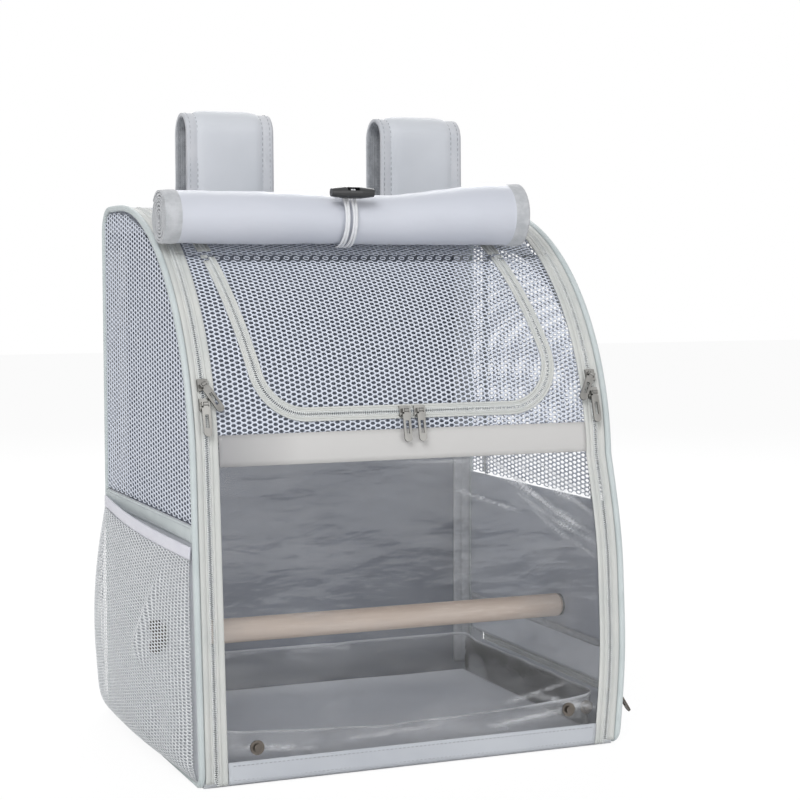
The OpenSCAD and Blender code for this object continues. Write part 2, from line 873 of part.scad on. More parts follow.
module wing_nut(s) {
    color([0.68, 0.69, 0.71])
        translate([0, perch_c[0], perch_c[1]])
            rotate([0, s * 90, 0])
                translate([0, 0, wall_out + 1.4])
                    difference() {
                        union() {
                            cylinder(r1 = 6, r2 = 4.6, h = 7.5, $fn = 40);
                            intersection() {
                                translate([-nut_span / 2, -1.5, 1])
                                    cube([nut_span, 3, 10]);
                                union() {
                                    for (m = [-1, 1])
                                        translate([m * (nut_span / 2 - 5.5), 0, 5.6])
                                            rotate([90, 0, 0])
                                                cylinder(r = 5.4, h = 4, center = true, $fn = 40);
                                    translate([-nut_span / 2 + 5, -2, 1])
                                        cube([nut_span - 10, 4, 5]);
                                }
                            }
                        }
                        translate([0, 0, -1])
                            cylinder(r = bolt_r + nut_clear, h = 14, $fn = 32);
                    }
}

module wing_nut_left() {
    wing_nut(-1);
}

module wing_nut_right() {
    wing_nut(1);
}

// Front panel

module door_base_strip() {
    color([0.8, 0.81, 0.82])
        across(-door_x, door_x)
            intersection() {
                front_skin(-tape_in, tape_in, 30);
                level(2, base_strip_top);
            }
}

module front_window() {
    color([0.8, 0.88, 0.95, 0.35])
        across(-panel_x, panel_x)
            intersection() {
                front_skin(tape_in, tape_in + window_t, 30);
                level(9, (divider_z0 + divider_z1) / 2);
            }
}

module divider_strip() {
    color([0.84, 0.84, 0.83])
        across(-door_x, door_x)
            intersection() {
                front_skin(-tape_in, tape_in, 40);
                level(divider_z0, divider_z1);
            }
}

module front_mesh() {
    color([0.74, 0.77, 0.82])
        difference() {
            across(-panel_x, panel_x)
                intersection() {
                    front_skin(tape_in, tape_in + mesh_t, 80);
                    level((divider_z0 + divider_z1) / 2 + 0.3, door_top_z);
                }
            through(-far, front_reach)
                intersection() {
                    hatch_outline(half_coil + 1.6);
                    level(divider_z0, hatch_top_z - 0.2);
                }
        }
}

// Ring of the hatch zip between two distances from the middle of its coil.
module hatch_ring(g0, g1, o0, o1, z0, z1) {
    intersection() {
        across(-panel_x, panel_x)
            intersection() {
                front_skin(o0, o1, 80);
                level(z0, z1);
            }
        through(-far, front_reach)
            difference() {
                hatch_outline(g1);
                hatch_outline(g0);
            }
    }
}

module door_zip_halves() {
    color([0.86, 0.87, 0.86]) {
        for (s = [-1, 1]) {
            both_across(s, door_x, coil_x - half_coil)
                intersection() {
                    front_skin(-tape_in, tape_in, 80);
                    level(2, door_top_z);
                }
            both_across(s, coil_x - half_coil, coil_x - half_gap)
                intersection() {
                    front_skin(-coil_t / 2, coil_t / 2, 80);
                    level(2, door_top_z);
                }
        }
        hatch_ring(half_gap, half_coil + small_tape_w, -tape_in, tape_in, divider_z0, hatch_top_z - 0.2);
        hatch_ring(half_gap, half_coil, -coil_t / 2, coil_t / 2, divider_z0, hatch_top_z - 0.2);
    }
}

// Snap stud standing out of a sheet along -Y.
module stud() {
    rotate([90, 0, 0]) {
        cylinder(r = 5.4, h = 0.9, $fn = 40);
        cylinder(r = 2.3, h = 3, $fn = 32);
        translate([0, 0, 2.1])
            cylinder(r = 2.9, h = 0.9, $fn = 32);
    }
}

module window_snaps() {
    color([0.55, 0.52, 0.5]) {
        on_front(snap_left[0], snap_left[1])
            translate([0, tape_in, 0])
                stud();
        on_front(snap_right[0], snap_right[1])
            translate([0, tape_in, 0])
                stud();
    }
}

// Front hatch

module hatch_mesh() {
    color([0.76, 0.79, 0.84])
        intersection() {
            across(-panel_x, panel_x)
                intersection() {
                    front_skin(tape_in, tape_in + mesh_t, 80);
                    level(divider_z0, hatch_top_z - 0.7);
                }
            through(-far, front_reach)
                difference() {
                    hatch_outline(-half_coil - 1.6);
                    intersection() {
                        hatch_outline(-half_coil - 1.6 - net_rim);
                        level(divider_z0, hatch_top_z - net_rim);
                        arc_net(hatch_x0 - net_rim, hatch_x1 + net_rim, hatch_a, hatch_top_a);
                    }
                }
        }
}

module hatch_zip_inner() {
    color([0.86, 0.87, 0.86]) {
        hatch_ring(-half_coil - small_tape_w, -half_gap, -tape_in, tape_in, divider_z0, hatch_top_z - 0.7);
        hatch_ring(-half_coil, -half_gap, -coil_t / 2, coil_t / 2, divider_z0, hatch_top_z - 0.7);
    }
}

// Side door

module arch_mesh() {
    color([0.74, 0.77, 0.82])
        across(mesh_in, mesh_out)
            difference() {
                intersection() {
                    arch_outline(-half_coil - 1.6);
                    level(side_panel_h + 1.6, far);
                }
                intersection() {
                    arch_outline(-half_coil - 1.6 - net_rim);
                    level(side_panel_h + 1.6 + net_rim, far);
                    wall_net(front_y, back_y, side_panel_h, top_z);
                }
            }
}

module arch_zip_inner() {
    color([0.86, 0.87, 0.86])
        arch_half(-half_coil - small_tape_w, -half_coil, -half_gap, side_panel_h + 1.6);
}

// Pull-out flap and tray

module tray_flap() {
    color([0.8, 0.81, 0.83])
        across(wall_in, wall_out)
            translate([flap_y0, base_t + 0.4])
                square([flap_y1 - flap_y0, flap_zip_z - half_coil - 1.5 - base_t - 0.4]);
}

module flap_zip_inner() {
    color([0.86, 0.87, 0.86]) {
        across(wall_out, wall_out + tape_t)
            translate([flap_y0, flap_zip_z - half_coil - small_tape_w])
                square([flap_y1 - flap_y0, small_tape_w + half_coil - half_gap]);
        across(wall_out - 0.6, wall_out + 2.2)
            translate([flap_y0, flap_zip_z - half_coil])
                square([flap_y1 - flap_y0, half_coil - half_gap]);
    }
}

module tray_liner() {
    color([0.85, 0.9, 0.95, 0.4])
        translate([0, 0, base_t + 0.3])
            difference() {
                translate([-tray_hx, tray_y0, 0])
                    cube([2 * tray_hx, tray_y1 - tray_y0, tray_h]);
                translate([-tray_hx + tray_wall, tray_y0 + tray_wall, tray_wall])
                    cube([2 * (tray_hx - tray_wall), tray_y1 - tray_y0 - 2 * tray_wall, tray_h]);
            }
}

module tray_mat() {
    color([0.5, 0.52, 0.56])
        translate([-tray_hx + 2, tray_y0 + 2, base_t + 1.5])
            cube([2 * tray_hx - 4, tray_y1 - tray_y0 - 4, 2]);
}

module tray_snap() {
    color([0.55, 0.52, 0.5])
        translate([tray_snap_x, tray_y0, base_t + 23])
            stud();
}

// Sliders and pulls, built on a coil that runs along Z with -Y outwards

// Slider body; turn is the angle of its pull's bridge on the plate.
module slider(turn) {
    color([0.6, 0.61, 0.62]) {
        difference() {
            translate([-3.9, -slider_top - 1.3, -4.5])
                cube([7.8, slider_top + 1.3 - tape_in - 0.2, 9]);
            translate([-half_coil - 0.4, -slider_top, -5])
                cube([coil_w + 0.8, slider_top + 2, 10]);
        }
        translate([0, pin_y, 0])
            rotate([0, turn, 0]) {
                for (m = [-1, 1])
                    translate([m * 2.45 - 0.45, -1.2, -1.5])
                        cube([0.9, 3.1, 3]);
                rotate([0, 90, 0])
                    cylinder(r = 0.7, h = 4.4, center = true, $fn = 24);
            }
    }
}

// Pull tab hanging on the bridge; turn matches its slider.
module pull(turn) {
    color([0.56, 0.55, 0.56])
        translate([0, pin_y, 0])
            rotate([0, turn, 0])
                difference() {
                    union() {
                        rotate([0, 90, 0])
                            cylinder(r = 1.6, h = 3.4, center = true, $fn = 32);
                        translate([-1.7, -0.7, -3.4])
                            cube([3.4, 1.4, 3.4]);
                        translate([-3.1, -0.7, -21])
                            cube([6.2, 1.4, 18.2]);
                        translate([0, 0.7, -21])
                            rotate([90, 0, 0])
                                cylinder(r = 3.1, h = 1.4, $fn = 40);
                    }
                    rotate([0, 90, 0])
                        cylinder(r = 0.78, h = 6, center = true, $fn = 32);
                    translate([-1.3, -2, -18])
                        cube([2.6, 4, 10]);
                }
}

module slider_left_upper() {
    on_arc(-coil_x, upper_a)
        slider(-upper_turn);
}

module pull_left_upper() {
    on_arc(-coil_x, upper_a)
        pull(-upper_turn);
}

module slider_left_lower() {
    on_arc(-coil_x, lower_a)
        slider(0);
}

module pull_left_lower() {
    on_arc(-coil_x, lower_a)
        pull(0);
}

module slider_right_upper() {
    on_arc(coil_x, upper_a)
        slider(upper_turn);
}

module pull_right_upper() {
    on_arc(coil_x, upper_a)
        pull(upper_turn);
}

module slider_right_lower() {
    on_arc(coil_x, lower_a)
        slider(0);
}

module pull_right_lower() {
    on_arc(coil_x, lower_a)
        pull(0);
}

// Slider of a coil that runs along X, with the pull still hanging down.
module cross_slider() {
    rotate([0, 90, 0])
        slider(-90);
}

module slider_hatch_left() {
    on_arc(hatch_mid - hatch_gap, hatch_a)
        cross_slider();
}

module pull_hatch_left() {
    on_arc(hatch_mid - hatch_gap, hatch_a)
        pull(0);
}

module slider_hatch_right() {
    on_arc(hatch_mid + hatch_gap, hatch_a)
        cross_slider();
}

module pull_hatch_right() {
    on_arc(hatch_mid + hatch_gap, hatch_a)
        pull(0);
}

// Frame on the right wall: outwards is +X, the coil runs along Z.
module on_right(y, z, x) {
    translate([x, y, z])
        rotate([0, 0, 90])
            children();
}

// Frame on the side door's zip at the angle a: outwards is +X.
module on_arch(a) {
    translate([mesh_out + 0.8, ay, az])
        rotate([-a, 0, 0])
            translate([0, arch_inset - arc_r, 0])
                rotate([0, 0, 90])
                    children();
}

module slider_arch() {
    on_arch(arch_a)
        slider(-arch_a);
}

module pull_arch() {
    on_arch(arch_a)
        pull(-arch_a);
}

module slider_tray() {
    on_right(tray_slider_y, flap_zip_z, wall_out + 0.8)
        cross_slider();
}

module pull_tray() {
    on_right(tray_slider_y, flap_zip_z, wall_out + 0.8)
        translate([0, pin_y, 0])
            rotate([-tray_pull_tilt, 0, 0])
                translate([0, -pin_y, 0])
                    pull(0);
}

base_panel();
back_panel();
back_pad();
corner_bindings();
top_panel();
top_mesh_strip();
edge_piping();
frame_zip_halves();
left_side_mesh();
left_lower_panel();
right_mesh_surround();
right_lower_panel();
side_bindings();
inner_skirts();
side_zip_outer();
left_pocket();
left_pocket_hem();
cover_roll();
cinch_loops();
carry_handle();
shoulder_straps();
strap_webbing();
strap_buckles();
perch();
perch_bolts();
perch_washers();
toggle();
wing_nut_left();
wing_nut_right();
door_base_strip();
front_window();
divider_strip();
front_mesh();
door_zip_halves();
window_snaps();
hatch_mesh();
hatch_zip_inner();
arch_mesh();
arch_zip_inner();
tray_flap();
flap_zip_inner();
tray_liner();
tray_mat();
tray_snap();
slider_left_upper();
pull_left_upper();
slider_left_lower();
pull_left_lower();
slider_right_upper();
pull_right_upper();
slider_right_lower();
pull_right_lower();
slider_hatch_left();
pull_hatch_left();
slider_hatch_right();
pull_hatch_right();
slider_arch();
pull_arch();
slider_tray();
pull_tray();
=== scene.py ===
import math

import bmesh
import bpy
import numpy as np
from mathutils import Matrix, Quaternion, Vector


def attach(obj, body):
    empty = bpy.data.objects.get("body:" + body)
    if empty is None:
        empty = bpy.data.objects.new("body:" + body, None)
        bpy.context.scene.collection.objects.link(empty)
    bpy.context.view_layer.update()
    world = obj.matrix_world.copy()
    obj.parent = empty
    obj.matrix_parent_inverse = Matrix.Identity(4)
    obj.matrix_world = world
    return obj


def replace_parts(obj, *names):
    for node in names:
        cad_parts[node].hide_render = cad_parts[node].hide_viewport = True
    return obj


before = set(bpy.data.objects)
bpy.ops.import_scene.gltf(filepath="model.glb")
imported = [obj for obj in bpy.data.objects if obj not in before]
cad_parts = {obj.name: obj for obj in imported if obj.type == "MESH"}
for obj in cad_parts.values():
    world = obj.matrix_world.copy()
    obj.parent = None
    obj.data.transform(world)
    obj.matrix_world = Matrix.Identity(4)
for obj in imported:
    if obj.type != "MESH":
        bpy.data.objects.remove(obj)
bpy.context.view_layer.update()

# Sizes in millimetres. X right, Y back, Z up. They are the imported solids' own, apart
# from ROLL_SWELL and BOW, which only the scene has.
MM = 0.001
BEAD_X = 170.0
BEAD_R = 2.5
FRONT_Y = -137.5
BACK_Y = 137.5
LEAN = math.radians(4.0)
ARC_START = 233.0
ARC_R = 207.0
TOP_CORNER_R = 20.0
BASE_CORNER_R = 12.0
FRONT_CORNER_R = 8.0
ARC_Y = FRONT_Y + ARC_START * math.tan(LEAN) + ARC_R * math.cos(LEAN)
ARC_Z = ARC_START - ARC_R * math.sin(LEAN)
TOP_Z = ARC_Z + ARC_R
STRAIGHT = ARC_START / math.cos(LEAN)
COIL_X = 159.1
HALF_COIL = 2.2
DOOR_X = 150.0
WALL_IN = 168.5
WALL_OUT = 171.1
WALL_INSET = 2.4
WALL_T = 0.9  # half a cloth wall's thickness
MESH_MID = 170.3
PANEL_TOP = 190.0
DOOR_TOP = math.radians(54.5)
COVER_A = math.radians(62.5)
SIDE_END = math.radians(85.0)
BASE_TOP = 18.0
DIVIDER = (232.0, 255.0)
ROLL_R = 22.0
ROLL_D = ARC_R + BEAD_R + ROLL_R + 0.8
ROLL_A = math.radians(57.5)
ROLL_C = np.array([ARC_Y - ROLL_D * math.cos(ROLL_A), ARC_Z + ROLL_D * math.sin(ROLL_A)])
ROLL_X = (-171.0, 128.0)
ROLL_SWELL = 4.5
CINCH_X = -23.0
FLAP_Y = (-129.5, 112.0)
FLAP_ZIP_Z = 42.0
BOW = 8.0
HATCH = {"x0": -118.0, "x1": 125.0, "z": 268.0, "r": 38.0, "lean": math.radians(10.0)}
HATCH_TOP = ARC_Z + ARC_R * math.sin(math.radians(53.0))
PERCH = (-43.0, 96.0)

# Which side of its coil a zip's tape lies on, along the path's own side direction
SIDE_HAND = 1.0
HATCH_HAND = -1.0
ARCH_HAND = 1.0
FLAP_HAND = 1.0

# Tape widths: of the frame, of the door beside it, and of the smaller zips
FRAME_TAPE, DOOR_TAPE, SMALL_TAPE = 6.1, 6.7, 3.3

# Nets: column, pitch and the half size of a hole
FRONT_CELL = (4.04, 3.7, (1.75, 1.14))
LEFT_CELL = (7.2, 3.65, (3.05, 1.18))
RIGHT_CELL = (7.2, 3.65, (2.8, 1.12))
POCKET_CELL = (5.4, 2.5, (2.0, 0.82))

# Straps and webbing
STRAP_HALF, STRAP_TIP_HALF, STRAP_TAPER = 37.0, 16.0, 50.0
STRAP_CENTRES = (("strap_left", -84.0), ("strap_right", 86.0))
STRAP_EDGE_W = 9.5
ANCHOR_X, WEBBING_TOP_X = 148.0, 85.0
HANDLE_A = math.radians(74.6)

# Tray film and mat
TRAY_HALF_X, TRAY_HALF_Y, TRAY_Z, TRAY_CORNER_R, TRAY_WALL_H = 157.4, 125.4, 6.9, 9.0, 34.0


# Colours, sRGB values from 0 to 255 turned into linear light

def rgb(r, g, b):
    def linear(c):
        c = c / 255.0
        return c / 12.92 if c <= 0.04045 else ((c + 0.055) / 1.055) ** 2.4
    return (linear(r), linear(g), linear(b), 1.0)


# Materials

class Nodes:
    """A small helper that adds and links nodes of one material."""

    def __init__(self, name):
        self.material = bpy.data.materials.new(name)
        self.material.use_nodes = True
        self.tree = self.material.node_tree
        self.shader = self.tree.nodes["Principled BSDF"]
        self.output = self.tree.nodes["Material Output"]

    def add(self, kind, **inputs):
        node = self.tree.nodes.new(kind)
        for key, value in inputs.items():
            if hasattr(node, key):
                setattr(node, key, value)
            else:
                node.inputs[key.replace("_", " ")].default_value = value
        return node

    def link(self, source, target):
        self.tree.links.new(source, target)

    def set(self, **values):
        for key, value in values.items():
            self.shader.inputs[key.replace("_", " ")].default_value = value

    def sum(self, a, b):
        node = self.add("ShaderNodeMath", operation="ADD")
        self.link(a, node.inputs[0])
        self.link(b, node.inputs[1])
        return node.outputs[0]

    def blend(self, factor, a, b):
        """Mix of two shaders. The factor is a number or a socket."""
        node = self.add("ShaderNodeMixShader")
        if isinstance(factor, float):
            node.inputs[0].default_value = factor
        else:
            self.link(factor, node.inputs[0])
        self.link(a, node.inputs[1])
        self.link(b, node.inputs[2])
        return node.outputs[0]

    def place(self):
        return self.add("ShaderNodeTexCoord").outputs["Object"]

    def mix(self, factor, a, b):
        node = self.add("ShaderNodeMix", data_type="RGBA")
        self.link(factor, node.inputs[0])
        node.inputs[6].default_value = a
        node.inputs[7].default_value = b
        return node.outputs[2]

    def ramp(self, source, low, high):
        node = self.add("ShaderNodeMapRange")
        node.inputs["From Min"].default_value = low
        node.inputs["From Max"].default_value = high
        self.link(source, node.inputs["Value"])
        return node.outputs["Result"]

    def bump(self, height, strength, distance):
        node = self.add("ShaderNodeBump")
        node.inputs["Strength"].default_value = strength
        node.inputs["Distance"].default_value = distance
        self.link(height, node.inputs["Height"])
        self.link(node.outputs["Normal"], self.shader.inputs["Normal"])


def noise(m, scale, detail=3.0, stretch=(1, 1, 1)):
    mapping = m.add("ShaderNodeMapping")
    mapping.inputs["Scale"].default_value = stretch
    m.link(m.place(), mapping.inputs["Vector"])
    node = m.add("ShaderNodeTexNoise", Scale=scale, Detail=detail)
    m.link(mapping.outputs["Vector"], node.inputs["Vector"])
    return node.outputs["Fac"]


def weave(m, pitch):
    """Height of a plain weave with that thread pitch in metres."""
    waves = []
    for axis in ("X", "Y", "Z"):
        wave = m.add("ShaderNodeTexWave", bands_direction=axis, Scale=math.pi / 10 / pitch)
        m.link(m.place(), wave.inputs["Vector"])
        waves.append(wave.outputs["Fac"])
    return m.sum(m.sum(waves[0], waves[1]), waves[2])


def cloth(name, low, high, rough=0.6, sheen=0.25, pitch=0.0007, depth=0.00012, blotch=14.0):
    """Woven cloth: two close tones in soft blotches over a fine weave."""
    m = Nodes(name)
    m.link(m.mix(m.ramp(noise(m, blotch), 0.3, 0.7), rgb(*low), rgb(*high)), m.shader.inputs["Base Color"])
    m.set(Roughness=rough, Sheen_Weight=sheen, Sheen_Roughness=0.5)
    m.bump(weave(m, pitch), 0.35, depth)
    return m.material


def satin(name, left, rest, rough, sheen, depth, blotch):
    """Ribbon of one tone that is darker at its left end: painted shade where the light falls off. The change
    is in the colour.
    """
    m = Nodes(name)
    place = m.add("ShaderNodeSeparateXYZ")
    m.link(m.place(), place.inputs[0])
    # Painted shade: the darker left tone is mixed in towards the ribbon's left end, with a noisy edge.
    shade_edge = m.add("ShaderNodeMath", operation="MULTIPLY_ADD")
    m.link(noise(m, blotch, 3.0, (1, 1, 0.3)), shade_edge.inputs[0])
    shade_edge.inputs[1].default_value = 0.07
    m.link(place.outputs[0], shade_edge.inputs[2])
    m.link(m.mix(m.ramp(shade_edge.outputs[0], -0.13, -0.05), rgb(*left), rgb(*rest)),
           m.shader.inputs["Base Color"])
    m.set(Roughness=rough, Sheen_Weight=sheen)
    m.bump(weave(m, 0.0006), 0.3, depth)
    return m.material


def plain(name, low, high, rough, metal=0.0, scale=60.0, depth=0.00005, coat=0.0, stretch=(1, 1, 1)):
    """Moulded, drawn or plated surface with slight tone and height changes."""
    m = Nodes(name)
    spots = noise(m, scale, 4.0, stretch)
    m.link(m.mix(m.ramp(spots, 0.3, 0.7), rgb(*low), rgb(*high)), m.shader.inputs["Base Color"])
    m.set(Roughness=rough, Metallic=metal, Coat_Weight=coat)
    m.bump(spots, 0.3, depth)
    return m.material


def wood():
    """Pale sanded dowel: long grain along X with a few darker streaks."""
    m = Nodes("wood")
    grain = noise(m, 90.0, 6.0, (0.06, 1, 1))
    streak = noise(m, 26.0, 3.0, (0.12, 1, 1))
    tone = m.mix(m.ramp(grain, 0.3, 0.7), rgb(212, 188, 168), rgb(242, 224, 208))
    dark = m.add("ShaderNodeMix", data_type="RGBA")
    m.link(m.ramp(streak, 0.55, 0.75), dark.inputs[0])
    m.link(tone, dark.inputs[6])
    dark.inputs[7].default_value = rgb(204, 176, 154)
    m.link(dark.outputs[2], m.shader.inputs["Base Color"])
    m.set(Roughness=0.62)
    m.bump(grain, 0.3, 0.0002)
    return m.material


def clear(name, tint, haze, ruck):
    """Clear film: see-through, with gloss, hazy white in faint noise patches, and white where the mesh's
    attribute asks for it: painted highlight along creases and rims.
    """
    m = Nodes(name)
    seen = m.add("ShaderNodeBsdfTransparent")
    seen.inputs["Color"].default_value = tint
    gloss = m.add("ShaderNodeBsdfGlossy", Roughness=0.12)
    gloss.inputs["Color"].default_value = (1, 1, 1, 1)
    fresnel = m.add("ShaderNodeFresnel", IOR=1.42)
    wrinkle = m.add("ShaderNodeBump", Strength=ruck)
    wrinkle.inputs["Distance"].default_value = 0.004
    m.link(noise(m, 24.0, 3.0, (1, 1, 2.6)), wrinkle.inputs["Height"])
    m.link(wrinkle.outputs["Normal"], gloss.inputs["Normal"])
    m.link(wrinkle.outputs["Normal"], fresnel.inputs["Normal"])
    film = m.blend(fresnel.outputs[0], seen.outputs[0], gloss.outputs[0])
    lit = m.add("ShaderNodeBsdfDiffuse")
    lit.inputs["Color"].default_value = rgb(250, 251, 253)
    through = m.add("ShaderNodeBsdfTranslucent")
    through.inputs["Color"].default_value = rgb(246, 248, 251)
    haze_and_highlight = m.blend(0.5, lit.outputs[0], through.outputs[0])
    # Painted highlight: the attribute read here whitens the film along creases and rims, standing in for
    # light glancing off it. The noise patches scaled by haze give a faint haze.
    painted_highlight = m.add("ShaderNodeAttribute", attribute_name="painted_highlight")
    smear = m.ramp(noise(m, 18.0, 3.0, (1, 1, 2.4)), 0.45, 0.8)
    faint = m.add("ShaderNodeMath", operation="MULTIPLY_ADD")
    m.link(smear, faint.inputs[0])
    faint.inputs[1].default_value = haze
    m.link(painted_highlight.outputs["Fac"], faint.inputs[2])
    m.link(m.blend(faint.outputs[0], film, haze_and_highlight), m.output.inputs["Surface"])
    return m.material


SHELL = cloth("shell_cloth", (192, 196, 202), (202, 205, 211))
ROLL_CLOTH = cloth("coated_cloth", (189, 193, 203), (196, 199, 208), rough=0.42, sheen=0.1, depth=0.00006,
                   blotch=8.0)
# Inside cloths: their tones are set per place to match how bright each place looks, not measured cloth
# colours. Darker tones are painted shade, darkest on the back's inside; lighter ones are painted light,
# lightest on the skirts and floor.
LINING = cloth("lining_cloth", (116, 121, 132), (126, 131, 142), rough=0.55, sheen=0.1, depth=0.00003,
               blotch=9.0)
SIDE_LINING = cloth("side_lining_cloth", (178, 183, 193), (188, 193, 202), rough=0.55, sheen=0.1,
                    depth=0.00003, blotch=9.0)
TOP_LINING = cloth("top_lining_cloth", (190, 194, 202), (200, 204, 211), rough=0.55, sheen=0.1, blotch=9.0)
SKIRT = cloth("skirt_cloth", (222, 226, 232), (232, 235, 240), rough=0.5, sheen=0.1, blotch=9.0)
FLOOR_CLOTH = cloth("floor_cloth", (226, 229, 234), (235, 237, 241), rough=0.45, sheen=0.1, blotch=9.0)
PIPING = cloth("piping_cloth", (184, 193, 194), (194, 202, 203), rough=0.6, sheen=0.2, pitch=0.0009,
               blotch=40.0)
TAPE = cloth("zip_tape", (190, 193, 191), (201, 202, 199), rough=0.65, sheen=0.25, pitch=0.0009, blotch=30.0)
BINDING = cloth("binding_tape", (170, 173, 177), (190, 192, 196), rough=0.75, sheen=0.3, pitch=0.0012,
                depth=0.0003, blotch=160.0)
ELASTIC = cloth("elastic", (216, 216, 226), (226, 226, 234), rough=0.7, pitch=0.0011, depth=0.0003,
                blotch=30.0)
WEBBING = cloth("webbing", (176, 180, 186), (188, 191, 197), rough=0.7, pitch=0.0018, depth=0.0004,
                blotch=40.0)
PAD_MESH = cloth("pad_mesh", (150, 155, 163), (168, 172, 180), rough=0.8, sheen=0.3, pitch=0.0028,
                 depth=0.0009, blotch=60.0)
DARK_LINING = cloth("strap_lining", (120, 123, 128), (144, 147, 151), rough=0.85, sheen=0.3, pitch=0.0024,
                    depth=0.0008, blotch=120.0)
# The satin's first tone is painted shade at the divider's left end.
SATIN = satin("satin_band", (132, 132, 135), (190, 189, 188), rough=0.36, sheen=0.2, depth=0.00004,
              blotch=5.0)
NET = plain("net_thread", (206, 212, 224), (221, 226, 237), 0.5, scale=300.0)
SIDE_NET = plain("side_net_thread", (210, 216, 229), (226, 231, 241), 0.5, scale=300.0)
POCKET_NET = plain("pocket_net_thread", (214, 217, 220), (229, 231, 233), 0.55, scale=300.0)
COIL = plain("nylon_coil", (200, 203, 203), (214, 216, 215), 0.4, scale=200.0)
STRIP = cloth("base_strip_cloth", (176, 180, 187), (186, 190, 196), rough=0.6, sheen=0.2, blotch=18.0)
STRAP_EDGE = cloth("strap_edge", (188, 191, 197), (199, 201, 206), rough=0.7, pitch=0.0011, depth=0.0003,
                   blotch=50.0)
STRAP_BACK_EDGE = cloth("strap_back_edge", (150, 153, 158), (178, 181, 186), rough=0.8, pitch=0.0016,
                        depth=0.0005, blotch=140.0)
DARK_THREAD = plain("dark_thread", (138, 141, 148), (156, 159, 165), 0.6, scale=400.0)
THREAD = plain("thread", (176, 180, 186), (196, 199, 204), 0.6, scale=400.0)
NICKEL = plain("nickel", (112, 111, 109), (146, 145, 142), 0.3, metal=1.0, scale=90.0, stretch=(1, 1, 0.2))
DARK_METAL = plain("dark_metal", (84, 79, 74), (112, 106, 100), 0.34, metal=1.0, scale=90.0)
BLACK = plain("black_plastic", (26, 27, 29), (36, 37, 39), 0.32, scale=120.0, coat=0.2)
WHITE_CORD = cloth("white_cord", (212, 214, 218), (230, 231, 234), rough=0.75, pitch=0.0009, depth=0.0003,
                   blotch=90.0)
WOOD = wood()
# Both films show painted highlight where their meshes ask for white.
WINDOW = clear("clear_window", (0.982, 0.986, 0.994, 1), 0.08, 0.15)
TRAY_FILM = clear("clear_tray", (0.996, 0.997, 0.998, 1), 0.14, 0.3)


# Mesh building. Points are in millimetres.

def bowed(points):
    """The right front edge bellies outwards below the divider, as cloth does."""
    points = np.array(points, float)
    x, y, z = points.T
    back = y - FRONT_Y - np.clip(z, 0, ARC_START) * math.tan(LEAN)
    reach = np.clip((x - 118) / 34, 0, 1)
    rise = np.clip(np.minimum((z - 2) / 96, (230 - z) / 96), 0, 1)
    swell = BOW * (reach * reach * (3 - 2 * reach)) * np.sin(rise * math.pi / 2)
    points[:, 0] += swell * np.exp(-(np.clip(back - 3, 0, None) / 14) ** 2)
    return points


def make(name, points, faces, body, materials, index=None, smooth=True):
    mesh = bpy.data.meshes.new(name)
    if body in ("bag", "front_panel", "side_flap"):
        points = bowed(points)
    mesh.from_pydata((np.asarray(points, float) * MM).tolist(), [], faces)
    for m in materials if isinstance(materials, (list, tuple)) else [materials]:
        mesh.materials.append(m)
    if index is not None:
        mesh.polygons.foreach_set("material_index", np.asarray(index, np.int32))
    work = bmesh.new()
    work.from_mesh(mesh)
    bmesh.ops.recalc_face_normals(work, faces=work.faces)
    work.to_mesh(mesh)
    work.free()
    mesh.polygons.foreach_set("use_smooth", [smooth] * len(mesh.polygons))
    obj = bpy.data.objects.new(name, mesh)
    bpy.context.scene.collection.objects.link(obj)
    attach(obj, body)
    return obj


def merged(parts):
    """One list of points and faces from several, with each part's number per face."""
    points, faces, index, start = [], [], [], 0
    for k, (p, f) in enumerate(parts):
        p = np.asarray(p, float).reshape(-1, 3)
        points.append(p)
        faces += [tuple(i + start for i in face) for face in f]
        index += [k] * len(f)
        start += len(p)
    return np.concatenate(points), faces, index


def field(u, v):
    """Two grids that hold each pair of values, with u along the first axis."""
    return np.meshgrid(u, v, indexing="ij")


def joined(name, parts, body, materials, by_part=False):
    """One piece from several parts. by_part gives each part its own material."""
    points, faces, index = merged(parts)
    return make(name, points, faces, body, materials, index if by_part else None)


def marked(piece, painted_highlight):
    """Writes the painted highlight on a film, how white it shows, at each point of its two faces."""
    values = np.concatenate([painted_highlight.ravel(), painted_highlight.ravel()]).astype(np.float32)
    piece.data.attributes.new("painted_highlight", "FLOAT", "POINT").data.foreach_set("value", values)


def facing(grid, axis, way=1):
    """The same normal along one axis at each point of a grid."""
    normal = np.zeros_like(grid)
    normal[..., axis] = way
    return normal


def extruded(x, line, out):
    """Grid of a side view line carried along X, with its normals."""
    grid = np.zeros((len(x), len(line), 3))
    grid[..., 0] = x[:, None]
    grid[..., 1:] = line
    normal = np.zeros_like(grid)
    normal[..., 1:] = out
    return grid, normal


def line_of(x, y, z):
    """Points of a line from three coordinates, each a number or an array."""
    return np.column_stack(np.broadcast_arrays(x, y, z)).astype(float)


def lengths(line):
    """Distance along a line at each of its points."""
    return np.concatenate([[0], np.cumsum(np.linalg.norm(np.diff(line, axis=0), axis=1))])


def picked(line, s, at):
    """Points of a line at the distances in at, with s from lengths."""
    return np.stack([np.interp(at, s, line[:, k]) for k in range(line.shape[1])], 1)


def oval(a, b, count):
    w = np.linspace(0, 2 * np.pi, count, endpoint=False)
    return np.column_stack([a * np.cos(w), b * np.sin(w)])


def grid_faces(nu, nv, start=0, flip=False, wrap=False):
    faces = []
    for i in range(nu if wrap else nu - 1):
        for j in range(nv - 1):
            a = start + i * nv + j
            b = start + (i + 1) % nu * nv + j
            faces.append((a, a + 1, b + 1, b) if flip else (a, b, b + 1, a + 1))
    return faces


